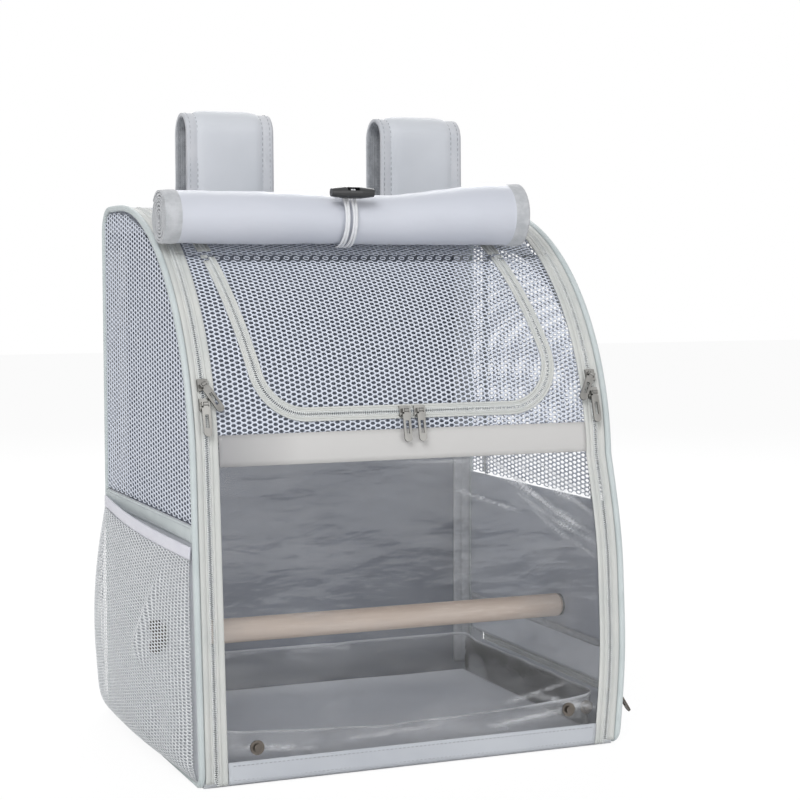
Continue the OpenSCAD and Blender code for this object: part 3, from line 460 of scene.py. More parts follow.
def shell(grid, normal, low, high):
    """Closed sheet between two heights over a grid of points."""
    nu, nv = grid.shape[:2]
    n = nu * nv
    outer = grid + normal * high
    inner = grid + normal * low
    faces = grid_faces(nu, nv) + grid_faces(nu, nv, n, flip=True)
    top = [i * nv + nv - 1 for i in range(nu)]
    bottom = [i * nv for i in range(nu)]
    left = list(range(nv))
    right = [(nu - 1) * nv + j for j in range(nv)]
    for line, turn in ((top, 0), (bottom, 1), (left, 0), (right, 1)):
        for a, b in zip(line, line[1:]):
            faces.append((a, b, b + n, a + n) if turn else (b, a, a + n, b + n))
    return np.concatenate([outer.reshape(-1, 3), inner.reshape(-1, 3)]), faces


def cut(sheet, grid, held, *rests_on):
    """Works out the flat width, length and area of the grid that a cloth piece was made over, and keeps none
    of them.
    """
    across = np.linalg.norm(np.diff(grid, axis=0), axis=-1)
    along_it = np.linalg.norm(np.diff(grid, axis=1), axis=-1)
    width, length = across.sum(0).max() * MM, along_it.sum(1).max() * MM
    a, b = grid[1:, 1:] - grid[:-1, :-1], grid[1:, :-1] - grid[:-1, 1:]
    area = np.linalg.norm(np.cross(a, b), axis=-1).sum() / 2 * MM * MM


def two_faces(grid, faces):
    """Material number of each face of a shell: 0 outside and on the rim, 1 inside."""
    count = (grid.shape[0] - 1) * (grid.shape[1] - 1)
    return [0] * count + [1] * count + [0] * (len(faces) - 2 * count)


def two_sided(name, grid, normal, low, high, body, outside, inside):
    points, faces = shell(grid, normal, low, high)
    return make(name, points, faces, body, [outside, inside], two_faces(grid, faces))


def unit(v):
    return v / np.maximum(np.linalg.norm(v, axis=-1, keepdims=True), 1e-9)


def frames(path, up, closed=False):
    """Tangent, side and up at each point of a path."""
    if closed:
        tangent = unit(np.roll(path, -1, 0) - np.roll(path, 1, 0))
    else:
        tangent = unit(np.gradient(path, axis=0))
    side = unit(np.cross(tangent, up))
    return tangent, side, unit(np.cross(side, tangent))


def sweep(path, up, profile, closed=False):
    """Solid of a closed profile of (side, up) points carried along a path."""
    path, up = np.asarray(path, float), np.asarray(up, float)
    profile = np.asarray(profile, float)
    _, side, over = frames(path, up, closed)
    if profile.ndim == 2:
        profile = np.repeat(profile[None], len(path), 0)
    points = path[:, None] + side[:, None] * profile[..., :1] + over[:, None] * profile[..., 1:]
    n, k = points.shape[:2]
    faces = []
    for i in range(n if closed else n - 1):
        a, b = i * k, (i + 1) % n * k
        faces += [(a + j, b + j, b + (j + 1) % k, a + (j + 1) % k) for j in range(k)]
    if not closed:
        faces += [tuple(range(k - 1, -1, -1)), tuple(range((n - 1) * k, n * k))]
    return points.reshape(-1, 3), faces


def along(path, up, pitch, margin=0.0):
    """Points, tangents, sides and ups every pitch along a path."""
    tangent, side, over = frames(path, up)
    s = lengths(path)
    count = max(1, int((s[-1] - 2 * margin) / pitch))
    at = margin + (np.arange(count) + 0.5) * (s[-1] - 2 * margin) / count
    return picked(path, s, at), *(unit(picked(way, s, at)) for way in (tangent, side, over))


def repeat(template, faces, placed):
    """Copies of a template of (side, along, up) points at each placed frame."""
    p, t, s, u = placed
    template = np.asarray(template, float)
    points = (p[:, None] + s[:, None] * template[None, :, :1]
              + t[:, None] * template[None, :, 1:2] + u[:, None] * template[None, :, 2:])
    k = len(template)
    return points.reshape(-1, 3), [tuple(v + i * k for v in f) for i in range(len(p)) for f in faces]


def lozenge(rings, sides=6):
    """Closed template from rings of (side, half length, half height, height)."""
    points, faces = [], []
    for x, a, b, h in rings:
        for k in range(sides):
            w = 2 * math.pi * (k + 0.5) / sides
            points.append((x, a * math.cos(w), h + b * math.sin(w)))
    for i in range(len(rings) - 1):
        for k in range(sides):
            a, b = i * sides + k, i * sides + (k + 1) % sides
            faces.append((a, b, b + sides, a + sides))
    faces += [tuple(range(sides - 1, -1, -1)), tuple(range((len(rings) - 1) * sides, len(rings) * sides))]
    return points, faces


def dashes(path, up, pitch=3.4, length=2.3, radius=0.32, height=0.1, margin=1.0):
    """A row of stitches lying on a surface."""
    half = length / 2
    template, faces = [], []
    for y, r in ((-half, 0.35), (-half * 0.6, 1.0), (half * 0.6, 1.0), (half, 0.35)):
        for k in range(5):
            w = 2 * math.pi * k / 5
            template.append((radius * r * math.cos(w), y, height + radius * r * math.sin(w)))
    for i in range(3):
        for k in range(5):
            a, b = i * 5 + k, i * 5 + (k + 1) % 5
            faces.append((a, b, b + 5, a + 5))
    faces += [(4, 3, 2, 1, 0), (15, 16, 17, 18, 19)]
    return repeat(template, faces, along(np.asarray(path, float), np.asarray(up, float), pitch, margin))


def ripple(u, v, size, seed, count=7):
    """Smooth waves from -1 to 1, the same each run."""
    rand = np.random.RandomState(seed)
    total = np.zeros(np.broadcast(u, v).shape)
    for _ in range(count):
        angle, phase, length = rand.rand() * math.pi, rand.rand() * 6.28, size * (0.6 + rand.rand())
        total += np.sin(2 * math.pi * (u * math.cos(angle) + v * math.sin(angle)) / length + phase)
    return total / count ** 0.5 / 1.6


# The bag's outline in the side view

def front_at(s):
    """(y, z) points and outward normals at the distance s up the front."""
    s = np.asarray(s, float)
    a = LEAN + np.clip(s - STRAIGHT, 0, None) / ARC_R
    y = np.where(s < STRAIGHT, FRONT_Y + s * math.sin(LEAN), ARC_Y - ARC_R * np.cos(a))
    z = np.where(s < STRAIGHT, s * math.cos(LEAN), ARC_Z + ARC_R * np.sin(a))
    past = np.clip(a - math.pi / 2, 0, None) * ARC_R
    a = np.minimum(a, math.pi / 2)
    y = np.where(past > 0, ARC_Y + past, y)
    z = np.where(past > 0, TOP_Z, z)
    return y, z, -np.cos(a), np.sin(a)


def s_of_z(z):
    return z / math.cos(LEAN) if z < ARC_START else STRAIGHT + (math.asin((z - ARC_Z) / ARC_R) - LEAN) * ARC_R


def s_of_a(a):
    return STRAIGHT + (a - LEAN) * ARC_R


def on_front(x, s, out=0.0):
    """Points on the front at x and s, moved outwards, and the normals there."""
    x, s = np.broadcast_arrays(np.asarray(x, float), np.asarray(s, float))
    y, z, ny, nz = front_at(s)
    normal = np.stack([np.zeros_like(y), ny, nz], -1)
    return np.stack([x, y, z], -1) + normal * np.asarray(out)[..., None], normal


def outline(inset, step=4.0):
    """Closed side view outline, inset from the middle of the piping."""
    def arc(c, r, a0, a1, n):
        return [(c[0] + r * math.cos(a0 + (a1 - a0) * i / n), c[1] + r * math.sin(a0 + (a1 - a0) * i / n))
                for i in range(n + 1)]
    cfront = (FRONT_Y + (BEAD_R + FRONT_CORNER_R) * math.tan(LEAN) + FRONT_CORNER_R / math.cos(LEAN),
              BEAD_R + FRONT_CORNER_R)
    ctop = (BACK_Y - TOP_CORNER_R, TOP_Z - TOP_CORNER_R)
    cbase = (BACK_Y - BASE_CORNER_R, BEAD_R + BASE_CORNER_R)
    pi = math.pi
    loop = (arc(cfront, FRONT_CORNER_R - inset, 1.5 * pi, pi - LEAN, 6)
            + arc((ARC_Y, ARC_Z), ARC_R - inset, pi - LEAN, pi / 2, 48)
            + arc(ctop, TOP_CORNER_R - inset, pi / 2, 0, 9)
            + arc(cbase, BASE_CORNER_R - inset, 0, -pi / 2, 6))
    points = np.array(loop)
    closed = np.concatenate([points, points[:1]])
    s = lengths(closed)
    return picked(closed, s, np.linspace(0, s[-1], int(s[-1] / step), endpoint=False))


def within_outline(y, z, inset):
    """True where a side view point lies within the outline at that inset."""
    front = np.where(z < ARC_START, (y - FRONT_Y) * math.cos(LEAN) - z * math.sin(LEAN),
                     ARC_R - np.hypot(y - ARC_Y, z - ARC_Z))
    front = np.where((y > ARC_Y) & (z >= ARC_START), TOP_Z - z, front)
    d = np.minimum(np.minimum(front, BACK_Y - y), z - BEAD_R)
    cy, cz = BACK_Y - TOP_CORNER_R, TOP_Z - TOP_CORNER_R
    corner = (y > cy) & (z > cz)
    d = np.where(corner, TOP_CORNER_R - np.hypot(y - cy, z - cz), d)
    return d > inset


# Nets

RING = [(4, 0), (3, 1), (2, 2), (0, 2), (-2, 2), (-3, 1), (-4, 0), (-3, -1), (-2, -2), (0, -2), (2, -2),
        (3, -1)]


def net(name, body, material, place, inside, span_u, span_v, column, pitch, hole, half):
    """Knitted net of staggered rounded holes. place turns (u, v, height) into
    points, inside says which holes are there, hole is the half size of one."""
    ci = np.arange(math.floor(span_u[0] / column), math.ceil(span_u[1] / column) + 1)
    cj = np.arange(math.floor(span_v[0] / pitch) - 1, math.ceil(span_v[1] / pitch) + 1)
    i, j = [a.ravel() for a in field(ci, cj)]
    cu, cv = i * 6, j * 4 + 2 * (i % 2)
    keep = inside(cu * column / 6, cv * pitch / 4)
    cu, cv = cu[keep], cv[keep]
    ring = np.array(RING)
    ku = cu[:, None] + ring[None, :, 0]
    kv = cv[:, None] + ring[None, :, 1]
    keys, number = np.unique(np.stack([ku.ravel(), kv.ravel()], 1), axis=0, return_inverse=True)
    number = number.reshape(ku.shape)
    count = len(keys)
    u, v = keys[:, 0] * column / 6, keys[:, 1] * pitch / 4
    turn = np.arange(12) * math.pi / 6
    hu = cu[:, None] * column / 6 + hole[0] * np.cos(turn)
    hv = cv[:, None] * pitch / 4 + hole[1] * np.sin(turn)
    flat = np.zeros(hu.size)
    points = np.concatenate([place(u, v, np.full(count, half)), place(u, v, np.full(count, -half)),
                             place(hu.ravel(), hv.ravel(), flat)])
    holes = 2 * count + np.arange(hu.size).reshape(hu.shape)
    nxt, hole_nxt = np.roll(number, -1, 1), np.roll(holes, -1, 1)
    top = np.stack([number, nxt, hole_nxt, holes], -1).reshape(-1, 4)
    under = np.stack([nxt + count, number + count, holes, hole_nxt], -1).reshape(-1, 4)
    pair = np.sort(np.stack([number.ravel(), nxt.ravel()], 1), axis=1)
    _, first, times = np.unique(pair, axis=0, return_index=True, return_counts=True)
    a, b = number.ravel()[first[times == 1]], nxt.ravel()[first[times == 1]]
    rim = np.stack([b, a, a + count, b + count], 1)
    faces = np.concatenate([top, under, rim]).tolist()
    return make(name, points, faces, body, material)


# Zips

TOOTH = lozenge([(0.1, 0.25, 0.7, 0.25), (0.5, 0.55, 1.05, 0.2), (1.5, 0.5, 1.1, 0.15),
                 (2.15, 0.4, 0.8, 0.0)])


def zip_half(path, up, hand, width):
    """Points and faces of one tape with its coil. hand is the side the tape
    lies on, along the path's own side direction."""
    edge = HALF_COIL + width - 0.15
    if width > 6.5:
        ridges = [(2.7, 0.8), (4.0, 0.8), (4.35, 0.05), (4.8, 0.05), (5.2, 0.7), (edge - 0.6, 0.75)]
    elif width > 4:
        ridges = [(2.6, 0.6), (3.0, 0.55), (3.25, 0.05), (3.7, 0.05), (4.0, 0.7), (edge - 0.9, 0.75)]
    else:
        ridges = [(2.5, 0.65), (3.1, 0.7), (3.35, 0.1), (3.7, 0.1), (4.0, 0.75), (edge - 0.4, 0.7)]
    band = [(2.0, -0.55), (2.0, 0.35)] + ridges + [(edge, 0.25), (edge, -0.5)]
    band = [(hand * a, b) for a, b in band]
    if hand < 0:
        band = band[::-1]
    cord = [(1.2, -0.9), (2.1, -0.7), (2.1, 0.5), (1.2, 0.5)]
    cord = [(hand * a, b) for a, b in cord]
    if hand < 0:
        cord = cord[::-1]
    template = [(hand * a, b, c) for a, b, c in TOOTH[0]]
    teeth = repeat(template, TOOTH[1], along(path, up, 1.55))
    return sweep(path, up, band), merged([sweep(path, up, cord), teeth])[:2]


def zip_piece(name, body, halves):
    """One piece from several halves: tapes in tape cloth, coils in nylon."""
    parts, kinds = [], []
    for tape, coil in halves:
        parts += [tape, coil]
        kinds += [0, 1]
    points, faces, index = merged(parts)
    return make(name, points, faces, body, [TAPE, COIL], [kinds[k] for k in index])


def front_path(x, s0, s1, step=3.0):
    s = np.linspace(s0, s1, max(2, int((s1 - s0) / step) + 1))
    return on_front(np.full(len(s), x), s)


def hatch_path(high, low=0.0, steps=120):
    """Middle line of the hatch zip between two heights, as (x, s) on the front."""
    lean, r = HATCH["lean"], HATCH["r"]
    cl, cr = (HATCH["x0"] + r, HATCH["z"] + r), (HATCH["x1"] - r, HATCH["z"] + r)
    def arc(c, a0, a1, n):
        return [(c[0] + r * math.cos(a0 + (a1 - a0) * k / n),
                 c[1] + r * math.sin(a0 + (a1 - a0) * k / n)) for k in range(n + 1)]
    left = arc(cl, math.pi + lean, 1.5 * math.pi, 14)
    right = arc(cr, 1.5 * math.pi, 2 * math.pi + lean, 16)
    rise = 160.0
    first = (left[0][0] - rise * math.sin(lean), left[0][1] + rise * math.cos(lean))
    last = (right[-1][0] - rise * math.sin(lean), right[-1][1] + rise * math.cos(lean))
    line = np.array([first] + left + right + [last])
    s = lengths(line)
    line = picked(line, s, np.linspace(0, s[-1], steps * 2))
    line = line[(line[:, 1] < high) & (line[:, 1] > low)]
    return line[:, 0], np.array([s_of_z(z) for z in line[:, 1]])


def hatch_distance(x, z):
    """Distance of front view points from the hatch zip, positive outside."""
    lean, r = HATCH["lean"], HATCH["r"]
    cl, cr = (HATCH["x0"] + r, HATCH["z"] + r), (HATCH["x1"] - r, HATCH["z"] + r)
    below = HATCH["z"] - z
    left = (cl[0] - x) * math.cos(lean) - (z - cl[1]) * math.sin(lean) - r
    right = (x - cr[0]) * math.cos(lean) + (z - cr[1]) * math.sin(lean) - r
    d = np.maximum(np.maximum(below, left), right)
    for c, side in ((cl, -1), (cr, 1)):
        dx, dz = x - c[0], z - c[1]
        sector = (dz < 0) & (side * dx > 0)
        d = np.where(sector, np.hypot(dx, dz) - r, d)
    return d


def arch_distance(y, z):
    """Distance of side view points from the side door's zip, positive outside."""
    inset, r = 28.0, 22.0
    front = np.where(z < ARC_START, inset - ((y - FRONT_Y) * math.cos(LEAN) - z * math.sin(LEAN)),
                     np.hypot(y - ARC_Y, z - ARC_Z) - (ARC_R - inset))
    front = np.where((y > ARC_Y) & (z >= ARC_START), z - (TOP_Z - inset), front)
    d = np.maximum(front, y - (BACK_Y - inset))
    cy, cz = BACK_Y - inset - r, TOP_Z - inset - r
    return np.where((y > cy) & (z > cz), np.hypot(y - cy, z - cz) - r, d)


def arch_path(low):
    """Middle line of the side door's zip as side view points, front first."""
    inset, r = 28.0, 22.0
    a = np.linspace(LEAN, math.pi / 2, 60)
    arc = np.stack([ARC_Y - (ARC_R - inset) * np.cos(a), ARC_Z + (ARC_R - inset) * np.sin(a)], 1)
    first = arc[0] - (arc[0][1] - low) * np.array([math.tan(LEAN), 1])
    cy, cz = BACK_Y - inset - r, TOP_Z - inset - r
    b = np.linspace(math.pi / 2, 0, 12)
    corner = np.stack([cy + r * np.cos(b), cz + r * np.sin(b)], 1)
    line = np.concatenate([[first], arc, corner, [[BACK_Y - inset, low]]])
    s = lengths(line)
    return picked(line, s, np.linspace(0, s[-1], int(s[-1] / 3)))


def on_wall(points, x):
    """Side view points on a wall at x, with outward normals."""
    p = np.column_stack([np.full(len(points), x), points])
    n = np.zeros_like(p)
    n[:, 0] = math.copysign(1, x)
    return p, n


def front_zips():
    frame_halves, door_halves = [], []
    top = s_of_a(DOOR_TOP)
    for side in (-1, 1):
        path, up = front_path(side * COIL_X, s_of_z(4.0), s_of_a(SIDE_END))
        frame_halves.append(zip_half(path, up, side * SIDE_HAND, FRAME_TAPE))
        path, up = front_path(side * COIL_X, s_of_z(2.0), top)
        door_halves.append(zip_half(path, up, -side * SIDE_HAND, DOOR_TAPE))
        path, up = front_path(side * COIL_X, top + 1.0, s_of_a(SIDE_END))
        frame_halves.append(zip_half(path, up, -side * SIDE_HAND, DOOR_TAPE))
    door_z = ARC_Z + ARC_R * math.sin(DOOR_TOP)
    x, s = hatch_path(door_z - 0.6)
    path, up = on_front(x, s)
    door_halves.append(zip_half(path, up, HATCH_HAND, SMALL_TAPE))
    x, s = hatch_path(door_z - 0.6, HATCH_TOP + 0.3, steps=900)
    for leg in (x < 0, x > 0):
        stub, stub_up = on_front(x[leg], s[leg])
        door_halves.append(zip_half(stub, stub_up, -HATCH_HAND, SMALL_TAPE))
    x, s = hatch_path(door_z + 11.0, door_z + 0.4)
    for leg in (x < 0, x > 0):
        stub, stub_up = on_front(x[leg], s[leg])
        frame_halves.append(zip_half(stub, stub_up, HATCH_HAND, SMALL_TAPE))
        frame_halves.append(zip_half(stub, stub_up, -HATCH_HAND, SMALL_TAPE))
    x, s = hatch_path(HATCH_TOP - 0.9)
    path, up = on_front(x, s)
    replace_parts(zip_piece("front_zip_frame_halves", "bag", frame_halves), "frame_zip_halves")
    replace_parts(zip_piece("front_zip_door_halves", "front_panel", door_halves), "door_zip_halves")
    inner = zip_half(path, up, -HATCH_HAND, SMALL_TAPE)
    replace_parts(zip_piece("hatch_zip", "front_hatch", [inner]), "hatch_zip_inner")


def side_zips():
    points, up = on_wall(arch_path(PANEL_TOP + 0.4), MESH_MID + 1.2)
    outer = zip_half(points, up, ARCH_HAND, SMALL_TAPE)
    points, up = on_wall(arch_path(PANEL_TOP + 1.7), MESH_MID + 1.2)
    inner = zip_half(points, up, -ARCH_HAND, SMALL_TAPE)
    y = np.linspace(*FLAP_Y, 74)
    flap, flap_up = on_wall(np.column_stack([y, np.full(len(y), FLAP_ZIP_Z)]), WALL_OUT + 0.8)
    upper = zip_half(flap, flap_up, FLAP_HAND, SMALL_TAPE)
    lower = zip_half(flap, flap_up, -FLAP_HAND, SMALL_TAPE)
    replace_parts(zip_piece("side_zip_frame_half", "bag", [outer, upper]), "side_zip_outer")
    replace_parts(zip_piece("side_door_zip", "side_door", [inner]), "arch_zip_inner")
    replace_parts(zip_piece("side_flap_zip", "side_flap", [lower]), "flap_zip_inner")


def nets():
    def front_place(u, v, h):
        return on_front(u, v, -1.25 + h)[0]
    door_s, hatch_s = s_of_a(DOOR_TOP), s_of_z(HATCH_TOP)
    low_s = s_of_z(sum(DIVIDER) / 2)
    def z_of(v):
        return front_at(v)[1]
    def front_inside(u, v):
        open_mesh = (hatch_distance(u, z_of(v)) > 2.9) | (v > hatch_s + 1.9)
        return open_mesh & (np.abs(u) < 151) & (v > low_s) & (v < door_s - 1.9)
    def hatch_inside(u, v):
        return (hatch_distance(u, z_of(v)) < -2.9) & (v < hatch_s - 1.9)
    span = (-156, 156), (low_s - 6, door_s + 6)
    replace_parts(net("front_net", "front_panel", NET, front_place, front_inside, *span,
                            *FRONT_CELL, 0.5), "front_mesh")
    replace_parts(net("hatch_net", "front_hatch", NET, front_place, hatch_inside, *span,
                            *FRONT_CELL, 0.5), "hatch_mesh")

    def top_inside(u, v):
        return (np.abs(u) < 148) & (v > door_s + 1.9) & (v < s_of_a(COVER_A))
    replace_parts(net("top_net", "bag", NET, front_place, top_inside, (-156, 156),
                            (door_s - 4, s_of_a(COVER_A) + 6), *FRONT_CELL, 0.5), "top_mesh_strip")

    def wall_place(side):
        return lambda u, v, h: np.column_stack([side * (MESH_MID + h), u, v])
    span = (-145, 145), (PANEL_TOP, TOP_Z)
    def left_inside(u, v):
        return within_outline(u, v, BEAD_R + 3.2) & (v > PANEL_TOP + 1.9)
    def surround_inside(u, v):
        return left_inside(u, v) & (arch_distance(u, v) > 4.2)
    def door_inside(u, v):
        return (arch_distance(u, v) < -4.2) & (v > PANEL_TOP + 1.9)
    for name, node, body, side, inside in (
            ("left_net", "left_side_mesh", "bag", -1, left_inside),
            ("right_net", "right_mesh_surround", "bag", 1, surround_inside),
            ("side_door_net", "arch_mesh", "side_door", 1, door_inside)):
        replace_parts(net(name, body, SIDE_NET, wall_place(side), inside, *span,
                                *(LEFT_CELL if side < 0 else RIGHT_CELL), 0.5), node)


# Left pocket: its solid's surface, hanging out a few millimetres more (pocket_sag),
# with a fold over the wing nut (pocket_fold)

POCKET_Z0, POCKET_TOP, POCKET_RISE = 4.0, 165.5, 9.5
MOUTH_GAP, POCKET_EDGE, POCKET_BULGE, HEM_H = 8.0, 1.4, 22.0, 9.5


def hem_z(u):
    return POCKET_TOP + POCKET_RISE * u


def pocket_y(u, z):
    return (FRONT_Y + z * math.tan(LEAN) + 3.6) * (1 - u) + (BACK_Y - 3.2) * u


def pocket_depth(u, v):
    u, v = np.clip(u, 0, 1), np.clip(v, 0, 1)
    closed = 1 - (1 - v) ** 24
    lift = np.abs(np.sin(np.radians(15 + 165 * v))) ** 0.6 * (0.75 + 0.4 * u)
    bulge = POCKET_BULGE * np.sin(np.pi * u) ** 0.55 * lift
    mouth = (MOUTH_GAP - POCKET_EDGE) * np.sin(np.pi * u) * v ** 4
    return np.maximum(bulge * closed + POCKET_EDGE * closed + mouth, 0.05)


def pocket_fold(y, z):
    """Ridge of the net over the wing nut and up towards the front."""
    nut = 3.4 * np.exp(-((y - PERCH[0]) / 9) ** 2 - ((z - PERCH[1] + 6) / 12) ** 2)
    along_fold = (z - PERCH[1]) / 60
    line = PERCH[0] - 34 * along_fold
    ridge = 3.0 * np.exp(-((y - line) / 6) ** 2) * np.exp(-((along_fold - 0.35) / 0.45) ** 2)
    low = -2.2 * np.exp(-((y + 75) / 16) ** 2 - ((z - 40) / 22) ** 2)
    return nut + ridge + low


def pocket_sag(t, w):
    """The net hangs out lowest near the front and fills the back upper corner."""
    low = 7.0 * np.exp(-((w - 0.06) / 0.13) ** 2) * np.sin(np.pi * t) ** 0.4 * (1 - 0.5 * t)
    rear = 4.0 * np.exp(-((t - 0.86) / 0.14) ** 2) * np.sin(np.pi * np.clip(w, 0, 1)) ** 0.3
    return (low + rear) * (1 - (1 - np.clip(w, 0, 1)) ** 24)


def surface_steps(a, b):
    """Distance along a curve of two coordinates, from its first point."""
    return np.concatenate([[0], np.cumsum(np.hypot(np.diff(a), np.diff(b)))])


POCKET_T = np.linspace(0, 1, 500)
POCKET_U = surface_steps(pocket_y(POCKET_T, 90.0), pocket_depth(POCKET_T, 0.5) + pocket_sag(POCKET_T, 0.5))
POCKET_V = surface_steps((hem_z(0.4) - POCKET_Z0) * POCKET_T,
                         pocket_depth(0.4, POCKET_T) + pocket_sag(0.4, POCKET_T))


def pocket_at(u, v):
    """Shares along and up the pocket and the side view point, from net distances."""
    t = np.interp(u, POCKET_U, POCKET_T)
    w = np.interp(v, POCKET_V, POCKET_T)
    z = POCKET_Z0 + w * (hem_z(t) - POCKET_Z0)
    return t, w, pocket_y(t, z), z


def pocket_place(u, v, h):
    t, w, y, z = pocket_at(u, v)
    depth = pocket_depth(t, w) + pocket_sag(t, w) + pocket_fold(y, z) * np.clip(8 * t * (1 - t), 0, 1)
    return np.column_stack([-WALL_OUT - depth - 0.6 - h, y, z])


def pocket():
    def inside(u, v):
        _, _, y, z = pocket_at(u, v)
        room = (u > 1.0) & (u < POCKET_U[-1] - 1.0) & (v > 1.2) & (v < POCKET_V[-1] + 1.0)
        return room & within_outline(y, z, BEAD_R + 0.3)
    span = (0, POCKET_U[-1]), (0, POCKET_V[-1] + 4)
    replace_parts(net("pocket_net", "bag", POCKET_NET, pocket_place, inside, *span,
                            *POCKET_CELL, 0.4), "left_pocket")
    t = np.linspace(0, 1, 90)
    y = pocket_y(t, hem_z(t))
    middle = -WALL_OUT - (POCKET_EDGE + (MOUTH_GAP - POCKET_EDGE) * np.sin(np.pi * t)) - 0.6
    path = np.column_stack([middle, y, hem_z(t) + HEM_H / 2 + 0.2])
    out = np.tile([-1.0, 0, 0], (len(t), 1))
    half = HEM_H / 2
    profile = [(-half, -0.5), (-half, 0.5), (-half * 0.75, 0.9), (-half * 0.4, 0.7), (0, 0.9),
               (half * 0.4, 0.7),
               (half * 0.75, 0.9), (half, 0.5), (half, -0.5)]
    points, faces = sweep(path, out, profile)
    hem = make("pocket_hem", points, faces, "bag", ELASTIC)
    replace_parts(hem, "left_pocket_hem")


def piping():
    loop = outline(0.0, 3.0)
    for name, side in (("piping_left", -1), ("piping_right", 1)):
        path = np.column_stack([np.full(len(loop), side * BEAD_X), loop])
        up = np.tile([side * 1.0, 0, 0], (len(loop), 1))
        points, faces = sweep(path, up, oval(BEAD_R, BEAD_R, 12), closed=True)
        bead = make(name, points, faces, "bag", PIPING)
        if side < 0:
            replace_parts(bead, "edge_piping")


# Cloth panels

def front_sheet(name, node, z0, z1, cloth_of, puff, wave):
    """Cloth band across the front between two heights, crowned by puff."""
    s0, s1 = s_of_z(z0), s_of_z(z1)
    s = np.linspace(s0, s1, max(6, int((s1 - s0) / 3)))
    xs, ss = field(np.linspace(-DOOR_X, DOOR_X, 90), s)
    grid, normal = on_front(xs, ss)
    t = (ss - s0) / (s1 - s0)
    crown = puff * np.sin(np.pi * t) ** 0.7 + wave * ripple(xs, ss, 60, len(name)) * np.sin(np.pi * t)
    crowned = grid + normal * crown[..., None]
    sheet = two_sided(name, crowned, normal, -0.7, 0.6, "front_panel", cloth_of, cloth_of)
    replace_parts(sheet, node)
    cut(sheet, grid, "stretched", "front_zip_door_halves")


def front_cloth():
    """Base strip and divider, with two rows of stitches along the base."""
    front_sheet("base_strip", "door_base_strip", 2.2, BASE_TOP, STRIP, 0.6, 0.25)
    front_sheet("divider", "divider_strip", *DIVIDER, SATIN, 0.7, 0.15)
    rows = []
    for z, out, radius in ((BASE_TOP - 2.6, 0.9, 0.3), (5.0, 0.75, 0.2)):
        path, up = on_front(np.linspace(-DOOR_X + 2, DOOR_X - 2, 100), np.full(100, s_of_z(z)), out)
        rows.append(dashes(path, up, 3.4, 2.2, radius))
    joined("front_stitches", rows, "front_panel", DARK_THREAD)


CREASES = [  # x0, z0, x1, z1, depth, width, and how white the crease's painted highlight is
    (60, 236, 146, 168, 0.9, 1.5, 0.9),
    (74, 236, 150, 184, 0.5, 1.1, 0.6),
    (90, 238, 150, 196, 0.6, 1.2, 0.7),
    (66, 222, 140, 178, 0.4, 1.0, 0.5),
    (112, 218, 150, 182, 0.5, 1.1, 0.6),
    (36, 208, 92, 188, 0.5, 1.1, 0.5),
    (88, 204, 149, 160, 0.5, 1.3, 0.5),
    (102, 190, 150, 148, 0.4, 1.0, 0.4),
    (-30, 232, 120, 226, 0.5, 1.2, 0.5),
    (-146, 30, -80, 22, 0.6, 1.6, 0.6),
    (-60, 26, 20, 30, 0.5, 1.3, 0.5),
    (60, 24, 148, 34, 0.6, 1.5, 0.8),
    (96, 46, 150, 30, 0.6, 1.5, 0.8),
    (70, 40, 128, 52, 0.5, 1.2, 0.6),
]


def window():
    x = np.linspace(-153, 153, 150)
    s = np.linspace(s_of_z(9.0), s_of_z(243.0), 120)
    xs, ss = field(x, s)
    z = front_at(ss)[1]
    edge = np.clip(1 - np.abs(xs) / 152, 0, 1) ** 0.4 * np.clip((z - 12) / 30, 0, 1)
    edge = edge * np.clip((236 - z) / 30, 0, 1)
    sink = 0.9 * edge * (1 + ripple(xs, z, 110, 5)) * 0.5
    # Painted highlight: white drawn along each crease, standing in for light glancing off the creased film.
    painted_highlight = np.zeros_like(xs)
    for x0, z0, x1, z1, depth, width, light in CREASES:
        d = np.array([x1 - x0, z1 - z0], float)
        t = np.clip(((xs - x0) * d[0] + (z - z0) * d[1]) / (d @ d), 0, 1)
        gap = np.hypot(xs - x0 - t * d[0], z - z0 - t * d[1]) / width
        fade = np.exp(-gap ** 2) * np.sin(np.pi * np.clip(t, 0.02, 0.98)) ** 0.5
        sink += depth * fade * 0.6
        painted_highlight = np.maximum(painted_highlight, 0.8 * light * fade * (0.6 + 0.4 * ripple(t * 60, gap * 6, 14, int(x0 + 200))))
    grid, normal = on_front(xs, ss)
    points, faces = shell(grid - normal * (0.75 + sink[..., None]), normal, -0.35, 0.0)
    sheet = make("window_sheet", points, faces, "front_panel", WINDOW)
    marked(sheet, painted_highlight)
    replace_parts(sheet, "front_window")


